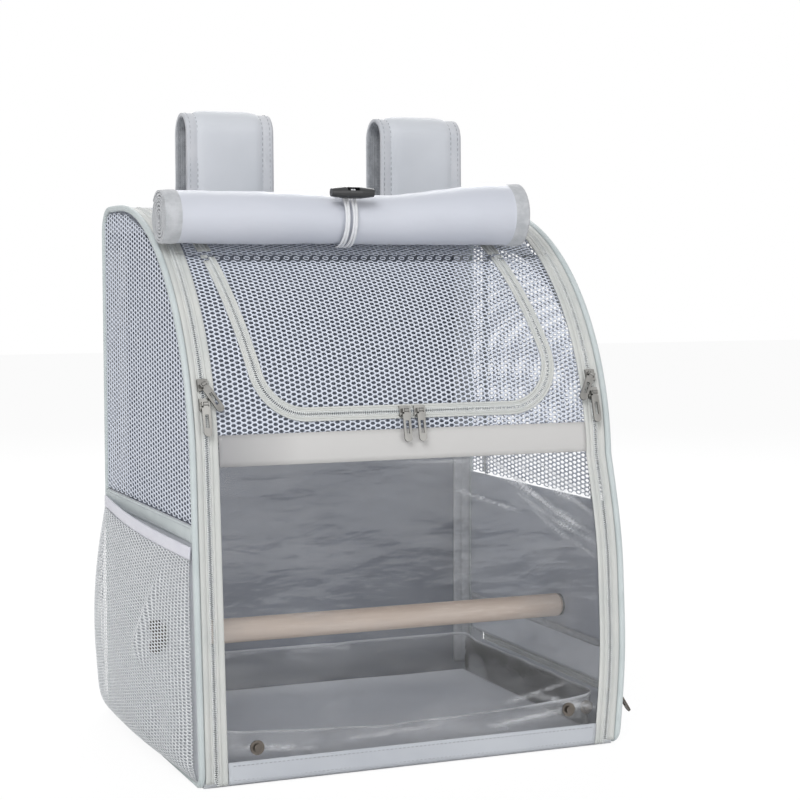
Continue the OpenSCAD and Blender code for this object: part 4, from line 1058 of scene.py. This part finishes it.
def wall_sheet(name, node, side, z0, z1):
    """Cloth wall between two heights, cut to the bag's outline."""
    z = np.linspace(z0, z1, 46)
    t = np.linspace(0, 1, 70)
    zz, tt = field(z, t)
    fronts = FRONT_Y + zz * math.tan(LEAN) + WALL_INSET / math.cos(LEAN)
    low_front = FRONT_Y + (BEAD_R + FRONT_CORNER_R) * math.tan(LEAN) + FRONT_CORNER_R / math.cos(LEAN)
    def round_off(radius):
        """How far a base corner lets the cloth reach at each height, and where it does."""
        drop = np.clip(BEAD_R + radius - zz, 0, None)
        return drop > 0, np.sqrt(np.clip((radius - 2.5) ** 2 - drop ** 2, 0, None))
    low, reach = round_off(FRONT_CORNER_R)
    fronts = np.where(low, low_front - reach, fronts)
    low, reach = round_off(BASE_CORNER_R)
    backs = np.where(low, BACK_Y - BASE_CORNER_R + reach, BACK_Y - WALL_INSET)
    yy = fronts + (backs - fronts) * tt
    wave = 0.5 * ripple(yy, zz, 90, len(name) + 3) * np.sin(np.pi * tt) ** 0.5
    grid = np.stack([np.full_like(yy, side * (WALL_IN + WALL_OUT) / 2), yy, zz], -1)
    grid[..., 0] += side * np.minimum(wave, 0.15)
    normal = facing(grid, 0, side)
    sheet = two_sided(name, grid, normal, -WALL_T, WALL_T, "bag", SHELL, SIDE_LINING)
    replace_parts(sheet, node)
    cut(sheet, grid, "stretched", "edge_piping", "base_panel")


def walls():
    """Lower walls, the flap in the right one, skirts, and the bindings over the walls."""
    wall_sheet("left_wall", "left_lower_panel", -1, 5.2, PANEL_TOP)
    wall_sheet("right_wall", "right_lower_panel", 1, 46.0, PANEL_TOP)
    rim, edge = [], (WALL_IN + WALL_OUT) / 2
    for (y0, y1), (z0, z1), (nu, nv) in (
            ((FRONT_Y + 5.0, FLAP_Y[0] - 0.6), (6.5, 46.2), (6, 12)),
            ((FLAP_Y[1] + 0.1, BACK_Y - 2.6), (6.5, 46.2), (6, 12)),
            ((FLAP_Y[0] - 0.6, FLAP_Y[1] + 0.6), (5.0, 6.0), (60, 2))):
        yy, zz = field(np.linspace(y0, y1, nu), np.linspace(z0, z1, nv))
        grid = np.stack([np.full_like(yy, edge), yy, zz], -1)
        rim.append(shell(grid, facing(grid, 0), -WALL_T, WALL_T))
    joined("right_wall_ends", rim, "bag", SHELL)
    yy, zz = field(np.linspace(*FLAP_Y, 80), np.linspace(6.4, 38.3, 12))
    grid = np.stack([np.full_like(yy, edge) + np.minimum(0.3 * ripple(yy, zz, 50, 8), 0.1), yy, zz], -1)
    flap = two_sided("side_flap_cloth", grid, facing(grid, 0), -WALL_T, WALL_T,
                     "side_flap", SHELL, SIDE_LINING)
    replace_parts(flap, "tray_flap")
    cut(flap, grid, "stretched", "flap_zip_inner")
    for name, side in (("left_skirt", -1), ("right_skirt", 1)):
        yy, zz = field(np.linspace(-127, 127, 90), np.linspace(46, 77, 14))
        wave = 0.45 * ripple(yy, zz, 45, 11)
        grid = np.stack([side * (WALL_IN - 0.9 + np.clip(wave, -0.5, 0.3)), yy, zz], -1)
        normal = facing(grid, 0, -side)
        path = line_of(side * (WALL_IN - 1.2), np.linspace(-127.5, 127.5, 60), 76.0)
        up = np.tile([-side * 1.0, 0, 0], (60, 1))
        band = sweep(path, up, [(-2.8, -0.3), (2.8, -0.3), (2.8, 0.5), (0, 0.9), (-2.8, 0.5)])
        skirt = joined(name, [shell(grid, normal, -0.1, 0.5), band], "bag", [SKIRT, BINDING], by_part=True)
        if side < 0:
            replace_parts(skirt, "inner_skirts")
    band, stitches = [], []
    for side in (-1, 1):
        z = PANEL_TOP - 6
        y0 = FRONT_Y + z * math.tan(LEAN) + 2.8
        path = line_of(side * (WALL_OUT + 0.3), np.linspace(y0, BACK_Y - 2.8, 80), z)
        up = np.tile([side * 1.0, 0, 0], (80, 1))
        band.append(sweep(path, up, [(-5.9, -0.3), (5.9, -0.3), (5.9, 0.3), (5.2, 0.65), (-5.2, 0.65),
                                     (-5.9, 0.3)]))
        for dz in (-4.3, 4.3):
            stitches.append(dashes(path + [side * 0.7, 0, dz], up, 3.4, 2.2, 0.24))
    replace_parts(joined("side_bands", band, "bag", PIPING), "side_bindings")
    joined("side_band_stitches", stitches, "bag", THREAD)


def back_and_base():
    """Back, top and base cloth."""
    path = outline(0.0, 4.0)
    y, z = path[:, 0], path[:, 1]
    back = path[(y > BACK_Y - BASE_CORNER_R - 0.5) & (z < TOP_Z - TOP_CORNER_R + 1) & (z > 2)]
    back = back[np.argsort(back[:, 1])]
    x = np.linspace(-BEAD_X + BEAD_R, BEAD_X - BEAD_R, 80)
    normal2 = unit(np.column_stack([np.gradient(back[:, 1]), -np.gradient(back[:, 0])]))
    grid, normal = extruded(x, back, normal2)
    edge = (1 - (np.abs(x) / (BEAD_X - BEAD_R)) ** 6)[:, None]
    wave = 0.55 * ripple(grid[..., 0], grid[..., 2], 120, 21) * edge
    grid += normal * np.clip(wave, -0.6, 0.1)[..., None]
    sheet = two_sided("back_cloth", grid, normal, -0.5, 0.9, "bag", SHELL, LINING)
    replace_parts(sheet, "back_panel")
    cut(sheet, grid, "stretched", "edge_piping")

    parts = []
    for x0, x1, a0, a1 in ((-DOOR_X, DOOR_X, COVER_A, SIDE_END),
                           (-BEAD_X + BEAD_R, BEAD_X - BEAD_R, SIDE_END, None)):
        s0 = s_of_a(a0)
        s1 = s_of_a(a1) if a1 else s_of_a(math.pi / 2) + BACK_Y - TOP_CORNER_R - ARC_Y
        xs, ss = field(np.linspace(x0, x1, 70), np.linspace(s0, s1, 24))
        parts.append(on_front(xs, ss))
    b = np.linspace(math.pi / 2, 0.05, 10)
    ring = np.column_stack([np.cos(b), np.sin(b)])
    corner = np.array([BACK_Y - TOP_CORNER_R, TOP_Z - TOP_CORNER_R])
    parts.append(extruded(np.linspace(-BEAD_X + BEAD_R, BEAD_X - BEAD_R, 70), corner + TOP_CORNER_R * ring,
                          ring))
    pieces, index = [], []
    for grid, normal in parts:
        wave = 0.3 * ripple(grid[..., 0], grid[..., 1], 80, 31)
        pieces.append(shell(grid + normal * np.clip(wave, -0.3, 0.1)[..., None], normal, -0.6, 0.6))
        index += two_faces(grid, pieces[-1][1])
    points, faces, _ = merged(pieces)
    top = make("top_cloth", points, faces, "bag", [SHELL, TOP_LINING], index)
    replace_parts(top, "top_panel")

    band = []
    for side in (-1, 1):
        path = line_of(side * (WALL_IN - 8.6), BACK_Y - 1.9, np.linspace(14, 392, 90))
        up = np.tile([0, -1.0, 0], (90, 1))
        band.append(sweep(path, up, [(-8, -0.6), (8, -0.6), (8, 0.3), (6.4, 0.9), (0.6, 0.8), (0, 0.2),
                                     (-0.6, 0.8),
                                     (-6.4, 0.9), (-8, 0.3)]))
    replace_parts(joined("corner_bands", band, "bag", BINDING), "corner_bindings")

    xs, ys = field(np.linspace(-BEAD_X + BEAD_R, BEAD_X - BEAD_R, 50),
                         np.linspace(FRONT_Y + 4.2, 125, 50))
    grid = np.stack([xs, ys, np.zeros_like(xs)], -1)
    base = two_sided("base_cloth", grid, facing(grid, 2), 0.0, 6.0, "bag", FLOOR_CLOTH, SHELL)
    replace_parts(base, "base_panel")


def tray():
    """Clear film tray: floor and four soft walls with a rolled rim."""
    hx, y0, y1, z0, r = TRAY_HALF_X, -TRAY_HALF_Y, TRAY_HALF_Y, TRAY_Z, TRAY_CORNER_R
    corners = [((hx - r, y1 - r), 0), ((-hx + r, y1 - r), 90), ((-hx + r, y0 + r), 180),
               ((hx - r, y0 + r), 270)]
    loop = [(c[0] + r * math.cos(math.radians(a + k * 15)), c[1] + r * math.sin(math.radians(a + k * 15)))
            for c, a in corners for k in range(7)]
    loop = np.array(loop)
    closed = np.concatenate([loop, loop[:1]])
    s = lengths(closed)
    at = np.linspace(0, s[-1], 260, endpoint=False)
    loop = picked(closed, s, at)
    out = unit(loop * [1 / hx, 1 / y1])
    front = np.clip(-loop[:, 1] - 100, 0, 20) / 20
    back = np.clip(loop[:, 1] - 100, 0, 20) / 20
    middle = np.cos(np.clip(loop[:, 0] / hx, -1, 1) * math.pi / 2) ** 0.8
    height = TRAY_WALL_H - front * 9.0 * middle + back * 3.0 + 1.2 * ripple(loop[:, 0], loop[:, 1], 60, 41)
    height = np.clip(height, 18, 36.4)
    t = np.linspace(0, 1, 14)
    z = z0 + height[:, None] * t
    bend = (1.3 * ripple(at[:, None] * np.ones(14), z, 55, 43) - 1.2) * np.sin(np.pi * t) ** 0.8
    bend = np.minimum(bend, 0)
    grid = np.stack([loop[:, None, 0] + out[:, None, 0] * bend, loop[:, None, 1] + out[:, None, 1] * bend,
                     z], -1)
    normal = np.zeros_like(grid)
    normal[..., :2] = out[:, None]
    n, k = grid.shape[:2]
    outer = grid + normal * 0.25
    inner = grid - normal * 0.25
    faces = grid_faces(n, k, 0, wrap=True) + grid_faces(n, k, n * k, flip=True, wrap=True)
    for i in range(n):
        a, b = i * k + k - 1, (i + 1) % n * k + k - 1
        faces.append((a, b, b + n * k, a + n * k))
    floor_out = [i * k for i in range(n)]
    faces += [tuple(floor_out[::-1]), tuple(v + n * k for v in floor_out)]
    points = np.concatenate([outer.reshape(-1, 3), inner.reshape(-1, 3)])
    # Painted highlight: white along random creases, strongest along the rolled rim at the top and fainter
    # along the foot of the walls.
    crease = np.abs(ripple(at[:, None] * np.ones(k) * 0.35, z * 2.2, 60, 45))
    painted_highlight = 0.5 * np.clip(crease - 0.55, 0, 1) + 0.75 * (t > 0.93) + 0.25 * (t < 0.05)
    film = make("tray_film", points, faces, "tray", TRAY_FILM)
    marked(film, painted_highlight)
    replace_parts(film, "tray_liner")

    xs, ys = field(np.linspace(-155.5, 155.5, 100), np.linspace(-123.5, 123.5, 80))
    wave = 0.35 * ripple(xs, ys, 90, 51)
    grid = np.stack([xs, ys, 8.6 + np.clip(wave, -0.3, 0.4)], -1)
    mat = two_sided("floor_mat", grid, facing(grid, 2), -0.6, 0.6, "tray", FLOOR_CLOTH, FLOOR_CLOTH)
    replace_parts(mat, "tray_mat")
    cut(mat, grid, "laid", "tray_film")


def roll():
    """Rolled rain cover: a loose spiral of cloth with bound, wrinkled ends."""
    (x0, x1), r, layer, turns = ROLL_X, ROLL_R, 2.6, 7.2
    tail = math.radians(38.7)
    n, m = 300, 150
    t = np.linspace(0, turns * 2 * math.pi, n)
    x = np.concatenate([np.linspace(x0, x0 + 14, 12), np.linspace(x0 + 15, x1 - 15, m - 24),
                        np.linspace(x1 - 14, x1, 12)])
    tt, xx = field(t, x)
    pinch = 1.8 * np.exp(-((xx - CINCH_X) / 10) ** 2)
    swell = np.clip((xx - 10) / 100, 0, 1)
    swell = ROLL_SWELL * swell * swell * (3 - 2 * swell)
    waist = 1.2 * np.exp(-((xx + 5) / 55) ** 2)
    radius = r + (swell - waist) * np.clip(1 - tt / 30, 0, 1) - layer * tt / (2 * math.pi) - 0.2
    ends = np.clip(1 - np.minimum(xx - x0, x1 - xx) / 14, 0, 1)
    flutter = (0.45 + 0.5 * ends) * ripple(tt * 16, xx, 40, 61) - 0.45
    radius = np.maximum(radius + np.minimum(flutter, 0) - pinch * np.clip(1 - tt / 6, 0, 1), 1.2)
    angle = tail + tt
    cy = ROLL_C[0] - (swell - waist) * math.cos(ROLL_A) + radius * np.cos(angle)
    cz = ROLL_C[1] + (swell - waist) * math.sin(ROLL_A) + radius * np.sin(angle)
    grid = np.stack([xx, cy, cz], -1)
    normal = np.stack([np.zeros_like(tt), np.cos(angle), np.sin(angle)], -1)
    bound = (ends > 0.12)[..., None]
    high = np.where(bound, 0.35, 0.0)
    low = np.where(bound, -1.5, -0.8)
    points, faces = shell(grid, normal, low, high)
    nu, nv = grid.shape[:2]
    cell = (ends[:-1, :-1] > 0.12).ravel().astype(int)
    index = list(cell) * 2 + [1] * (len(faces) - 2 * (nu - 1) * (nv - 1))
    rolled = make("rain_cover_roll", points, faces, "bag", [ROLL_CLOTH, BINDING], index)
    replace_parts(rolled, "cover_roll")

    foot_a = COVER_A + math.radians(4.2)
    foot = np.array([ARC_Y - (ARC_R + 1.6) * math.cos(foot_a), ARC_Z + (ARC_R + 1.6) * math.sin(foot_a)])
    start = ROLL_C + (r - 0.6) * np.array([math.cos(tail), math.sin(tail)])
    knee_a = COVER_A + math.radians(1.4)
    knee = np.array([ARC_Y - (ARC_R + 1.9) * math.cos(knee_a), ARC_Z + (ARC_R + 1.9) * math.sin(knee_a)])
    line = np.array([start, start * 0.5 + knee * 0.5, knee, foot])
    k = np.linspace(0, 3, 20)
    line = np.stack([np.interp(k, range(4), line[:, c]) for c in range(2)], 1)
    x = np.linspace(-149, ROLL_X[1], 60)
    d = unit(np.gradient(line, axis=0))
    grid, normal = extruded(x, line, np.column_stack([d[:, 1], -d[:, 0]]))
    points, faces = shell(grid, normal, -0.4, 0.4)
    flap = make("rain_cover_tail", points, faces, "bag", ROLL_CLOTH)
    cut(flap, grid, "stretched", "top_panel", "rain_cover_roll")

    cords = []
    toggle_a = math.radians(42)
    for dx in (-4.6, -2.3, 1.6, 4.2):
        a = np.linspace(-2.7, 2.3, 70) + math.pi - toggle_a
        wobble = dx + 0.35 * np.sin(a * 2 + dx)
        path = np.column_stack([CINCH_X + wobble, ROLL_C[0] + (r - 0.3) * np.cos(a),
                                ROLL_C[1] + (r - 0.3) * np.sin(a)])
        up = np.column_stack([np.zeros(70), np.cos(a), np.sin(a)])
        cords.append(sweep(path, up, oval(1.15, 0.75, 8)))
    out = np.array([0, -math.cos(toggle_a), math.sin(toggle_a)])
    middle = np.array([CINCH_X, *ROLL_C])
    for dx in (-1.0, 1.0):
        path = middle + np.outer(np.linspace(r - 0.5, r + 11.0, 12), out) + [dx, 0, 0]
        cords.append(sweep(path, np.tile([1.0, 0, 0], (12, 1)), oval(0.9, 0.9, 8)))
    loops = joined("cinch_cords", cords, "bag", WHITE_CORD)
    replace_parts(loops, "cinch_loops")


# Straps and handle

def strap_line():
    """Side view middle line of a strap, from the top seam over and down the back."""
    r, fy, hz, by = 16.0, 58.0, TOP_Z + 5.4, BACK_Y + 12.5
    top = 486.0
    def arc(c, rad, a0, a1, n=18):
        a = np.linspace(math.radians(a0), math.radians(a1), n)
        return np.stack([c[0] + rad * np.cos(a), c[1] + rad * np.sin(a)], 1)
    line = np.concatenate([[[fy, TOP_Z + 0.9]], arc((fy + r, top), r, 180, 0),
                           arc((fy + 3 * r, hz + r), r, 180, 270, 10),
                           arc((by - r, hz - r), r, 90, 0, 10), [[by, 150.3]]])
    s = lengths(line)
    at = np.linspace(0, s[-1], 190)
    return picked(line, s, at), at


def straps():
    line, at = strap_line()
    tangent = unit(np.gradient(line, axis=0))
    out = np.stack([-tangent[:, 1], tangent[:, 0]], 1)
    w = np.concatenate([[-1, -0.94, -0.86, -0.79, -0.76, -0.73], np.linspace(-0.68, 0.68, 15),
                        [0.73, 0.76, 0.79, 0.86, 0.94, 1]])
    for name, centre in STRAP_CENTRES:
        side = math.copysign(1, centre)
        taper = np.clip((at[-1] - at) / STRAP_TAPER, 0, 1)
        half = STRAP_TIP_HALF + (STRAP_HALF - STRAP_TIP_HALF) * taper
        grid = np.zeros((len(line), 27, 3))
        grid[..., 0] = centre + half[:, None] * w
        grid[..., 1] = line[:, None, 0]
        grid[..., 2] = line[:, None, 1]
        normal = np.zeros_like(grid)
        normal[..., 1], normal[..., 2] = out[:, None, 0], out[:, None, 1]
        across_mm = np.abs(w)[None] * half[:, None]
        edge = np.clip((half[:, None] - across_mm) / STRAP_EDGE_W, 0, 1)
        rise = np.clip((half[:, None] - STRAP_EDGE_W - across_mm) / 8, 0, 1) ** 0.5
        crown = np.where(edge < 1, 1.5, 1.5 + 2.1 * rise)
        groove = 0.7 * np.exp(-((half[:, None] - across_mm - 9.3) / 0.9) ** 2)
        dent = 0.35 * ripple(grid[..., 0], at[:, None] * np.ones(27), 60, 71 + int(side))
        high = (crown - groove + np.clip(dent, -0.4, 0.2))[..., None]
        low = -(crown - groove)[..., None]
        points, faces = shell(grid, normal, low, high)
        nu, nv = grid.shape[:2]
        count = (nu - 1) * (nv - 1)
        band = np.tile(np.abs(w[1:] + w[:-1]) / 2 > 0.76, nu - 1).astype(int)
        index = list(band * 2) + list(np.where(band, 3, 1)) + [2] * (len(faces) - 2 * count)
        strap = make(name, points, faces, "bag", [SHELL, DARK_LINING, STRAP_EDGE, STRAP_BACK_EDGE], index)
        if side < 0:
            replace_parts(strap, "shoulder_straps")
        rows = []
        for inset, radius in ((9.3, 0.36), (3.0, 0.26)):
            for hand in (-1, 1):
                path = np.column_stack([centre + hand * (half - inset), line])
                up = np.column_stack([np.zeros(len(line)), out])
                level = 1.35 if inset < 5 else 0.85
                for face in (level, -level):
                    rows.append(dashes(path + up * face, up * math.copysign(1, face), 4.4, 2.8, radius))
        joined(name + "_stitches", rows, "bag", DARK_THREAD)


def webbing_band(path, up, width, thick):
    half, t = width / 2, thick / 2
    return sweep(path, up, [(-half, -t * 0.6), (-half * 0.96, -t), (half * 0.96, -t), (half, -t * 0.6),
                            (half, t * 0.6), (half * 0.96, t), (-half * 0.96, t), (-half, t * 0.6)])


def webbing():
    parts = []
    for side in (-1, 1):
        t = np.linspace(0, 1, 60)
        x = side * (WEBBING_TOP_X + (ANCHOR_X - WEBBING_TOP_X) * t)
        z = 149.5 - 129 * t
        y = BACK_Y + 12.5 + 0.8 * np.sin(t * math.pi)
        path = np.column_stack([x, y, z])
        parts.append(webbing_band(path, np.tile([0, 1.0, 0], (60, 1)), 24.5, 1.6))
        foot = line_of(side * ANCHOR_X, BACK_Y + 6.0, np.linspace(20.5, 35.5, 14))
        parts.append(sweep(foot, np.tile([0, 1.0, 0], (14, 1)),
                           [(-12, -4.8), (12, -4.8), (10, 4.6), (-10, 4.6)]))
    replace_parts(joined("adjuster_webbing", parts, "bag", WEBBING), "strap_webbing")


def handle():
    """Carry handle: one band of webbing sewn down at both ends."""
    a = HANDLE_A
    middle = np.array([0, ARC_Y - ARC_R * math.cos(a), ARC_Z + ARC_R * math.sin(a)])
    out, back = np.array([0, -math.cos(a), math.sin(a)]), np.array([0, math.sin(a), math.cos(a)])
    x = np.linspace(-73.5, 73.5, 140)
    t = np.clip((61.5 - np.abs(x)) / 11, 0, 1)
    lift = 1.9 + 9.8 * t * t * (3 - 2 * t)
    path = x[:, None] * [1.0, 0, 0] + middle + lift[:, None] * out
    band = webbing_band(path, np.tile(out, (len(x), 1)), 24.8, 2.2)
    rows = []
    for side in (-1, 1):
        for dx in (64, 71.5):
            w = np.linspace(-11, 11, 20)
            line = middle + 3.05 * out + side * dx * np.array([1.0, 0, 0]) + w[:, None] * back
            rows.append(dashes(line, np.tile(out, (20, 1)), 3.0, 2.2, 0.35))
    piece = joined("carry_handle_band", [band, merged(rows)[:2]], "bag", [WEBBING, THREAD], by_part=True)
    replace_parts(piece, "carry_handle")


def back_pad():
    """Two padded panels on the back, filled by a short cloth simulation."""
    pads = []
    for name, x0, x1 in (("back_pad_left", -149.0, -3.5), ("back_pad_right", 3.5, 149.0)):
        bpy.ops.mesh.primitive_cube_add(size=1)
        pad = bpy.context.object
        pad.name = pad.data.name = name
        size = Vector(((x1 - x0 - 6) * MM, 4.2 * MM, 343 * MM))
        centre = Vector(((x0 + x1) / 2 * MM, (BACK_Y + 3.2) * MM, 215 * MM))
        for v in pad.data.vertices:
            v.co = Vector([v.co[k] * size[k] for k in range(3)]) + centre
        start = pad.modifiers.new("round", "BEVEL")
        start.width, start.segments = 1.6 * MM, 3
        mesh = pad.modifiers.new("mesh", "REMESH")
        mesh.mode, mesh.voxel_size = "VOXEL", 2.9 * MM
        bpy.context.view_layer.objects.active = pad
        for modifier in list(pad.modifiers):
            bpy.ops.object.modifier_apply(modifier=modifier.name)
        rest = np.array([v.co for v in pad.data.vertices])
        soft = pad.modifiers.new("fill", "CLOTH")
        soft.settings.use_pressure = True
        soft.settings.uniform_pressure_force = 4.0
        soft.settings.effector_weights.gravity = 0.0
        for number in range(1, 21):
            bpy.context.scene.frame_set(number)
        now = pad.evaluated_get(bpy.context.evaluated_depsgraph_get())
        moved = np.array([v.co for v in now.data.vertices]) - rest
        pad.modifiers.remove(soft)
        bpy.context.scene.frame_set(1)
        far = np.linalg.norm(moved, axis=1, keepdims=True)
        moved *= np.minimum(1, 5.0 * MM / np.maximum(far, 1e-9))
        rest = rest + moved
        low, high = (BACK_Y + 1.0) * MM, (BACK_Y + 7.0) * MM
        y = rest[:, 1]
        middle = (BACK_Y + 3.2) * MM
        span = max(y.max() - middle, 1e-6)
        channels = 0.8 * MM * (np.exp(-(((rest[:, 2] / MM - 40) % 50 - 25) / 3.0) ** 2))
        y = middle + (y - middle) * min(1.0, (high - middle) / span)
        y = np.where(y > middle, y - channels * (y - middle) / (high - middle), y)
        rest[:, 1] = np.clip(y, low, high)
        rest[:, 0] = np.clip(rest[:, 0], (x0 - 1) * MM, (x1 + 1) * MM)
        pad.data.vertices.foreach_set("co", rest.astype(np.float32).ravel())
        smooth = pad.modifiers.new("smooth", "SUBSURF")
        smooth.levels = smooth.render_levels = 1
        bpy.ops.object.modifier_apply(modifier=smooth.name)
        pad.data.polygons.foreach_set("use_smooth", [True] * len(pad.data.polygons))
        pad.data.materials.append(PAD_MESH)
        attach(pad, "bag")
        pads.append(pad)
    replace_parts(pads[0], "back_pad")


def hardware():
    """Carried-over solids whose shape is right: they get their finish here."""
    # The left wing nut's dark metal, unlike the right one's nickel, is painted shade: it darkens the shadow
    # seen around the nut through the pocket net.
    finish = {"perch": WOOD, "perch_bolts": NICKEL, "perch_washers": NICKEL, "toggle": BLACK,
              "wing_nut_left": DARK_METAL, "wing_nut_right": NICKEL, "strap_buckles": BLACK,
              "window_snaps": DARK_METAL, "tray_snap": DARK_METAL}
    for zip_name in ("left_upper", "left_lower", "right_upper", "right_lower", "hatch_left", "hatch_right",
                     "arch", "tray"):
        dark = zip_name == "tray"
        finish["slider_" + zip_name] = DARK_METAL if dark else NICKEL
        finish["pull_" + zip_name] = DARK_METAL if dark else NICKEL
    for node, material in finish.items():
        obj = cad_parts[node]
        for k in range(max(1, len(obj.material_slots))):
            if not obj.material_slots:
                obj.data.materials.append(material)
            obj.material_slots[k].material = material


# Fitted to the photograph: focal length in its 800 pixels, metres, and yaw, pitch, roll
CAMERA_FOCAL = 1840.33
CAMERA_AT = (-0.53891, -1.39692, 0.37354)
CAMERA_ANGLES = (22.587, 3.995, -0.121)

LAMPS = (  # name, place, aim, size in metres, power in watts
    ("key", (-1.3, -1.7, 2.0), (0, 0, 0.2), 1.4, 41.0),
    ("fill", (0.5, -2.15, 0.8), (0, 0, 0.2), 1.5, 8.5),
    ("rear", (0.7, 1.7, 1.6), (0, 0, 0.3), 1.5, 26.0),
)
WORLD_LIGHT = 0.4
FLOOR_GLOW, FLOOR_GLOW_SHARE = 1.02, 0.9


def studio():
    """Camera, white floor that keeps the shadow, white backdrop and three lamps."""
    scene = bpy.context.scene
    scene.view_settings.view_transform = "Standard"
    data = bpy.data.cameras.new("camera")
    camera = bpy.data.objects.new("camera", data)
    scene.collection.objects.link(camera)
    scene.camera = camera
    data.sensor_width, data.lens = 36.0, CAMERA_FOCAL / 800 * 36.0
    data.clip_start, data.clip_end = 0.05, 30
    yaw, pitch, tilt = [math.radians(a) for a in CAMERA_ANGLES]
    ahead = Vector((math.sin(yaw) * math.cos(pitch), math.cos(yaw) * math.cos(pitch), -math.sin(pitch)))
    camera.location = CAMERA_AT
    camera.rotation_mode = "QUATERNION"
    camera.rotation_quaternion = ahead.to_track_quat("-Z", "Y") @ Quaternion((0, 0, 1), tilt)

    bpy.ops.mesh.primitive_plane_add(size=12, location=(0, 1.0, 0))
    floor = bpy.context.object
    floor.name = "floor"
    m = Nodes("floor_paint")
    tone = m.mix(m.ramp(noise(m, 0.8), 0.3, 0.7), rgb(250, 250, 250), rgb(253, 253, 253))
    m.link(tone, m.shader.inputs["Base Color"])
    m.set(Roughness=0.9)
    glow = m.add("ShaderNodeEmission", Strength=FLOOR_GLOW)
    paths = m.add("ShaderNodeLightPath")
    amount = m.add("ShaderNodeMath", operation="MULTIPLY")
    m.link(paths.outputs["Is Camera Ray"], amount.inputs[0])
    amount.inputs[1].default_value = FLOOR_GLOW_SHARE
    both = m.blend(amount.outputs[0], m.shader.outputs[0], glow.outputs[0])
    m.link(both, m.output.inputs["Surface"])
    floor.data.materials.append(m.material)

    world = bpy.data.worlds.new("studio")
    scene.world = world
    world.use_nodes = True
    tree = world.node_tree
    back = tree.nodes["Background"]
    back.inputs["Color"].default_value = (1, 1, 1, 1)
    paths = tree.nodes.new("ShaderNodeLightPath")
    seen = paths.outputs["Is Camera Ray"]
    for kind in ("Is Glossy Ray", "Is Transmission Ray"):
        either = tree.nodes.new("ShaderNodeMath")
        either.operation = "MAXIMUM"
        tree.links.new(seen, either.inputs[0])
        tree.links.new(paths.outputs[kind], either.inputs[1])
        seen = either.outputs[0]
    strength = tree.nodes.new("ShaderNodeMapRange")
    strength.inputs["To Min"].default_value = WORLD_LIGHT
    strength.inputs["To Max"].default_value = 1.0
    tree.links.new(seen, strength.inputs["Value"])
    tree.links.new(strength.outputs["Result"], back.inputs["Strength"])

    for name, place, aim, size, power in LAMPS:
        light = bpy.data.lights.new(name, "AREA")
        light.shape, light.size, light.energy = "SQUARE", size, power
        lamp = bpy.data.objects.new(name, light)
        scene.collection.objects.link(lamp)
        lamp.location = place
        lamp.rotation_mode = "QUATERNION"
        lamp.rotation_quaternion = (Vector(aim) - Vector(place)).to_track_quat("-Z", "Y")


studio()
piping()
front_zips()
side_zips()
nets()
pocket()
front_cloth()
window()
walls()
back_and_base()
tray()
roll()
straps()
webbing()
handle()
back_pad()
hardware()
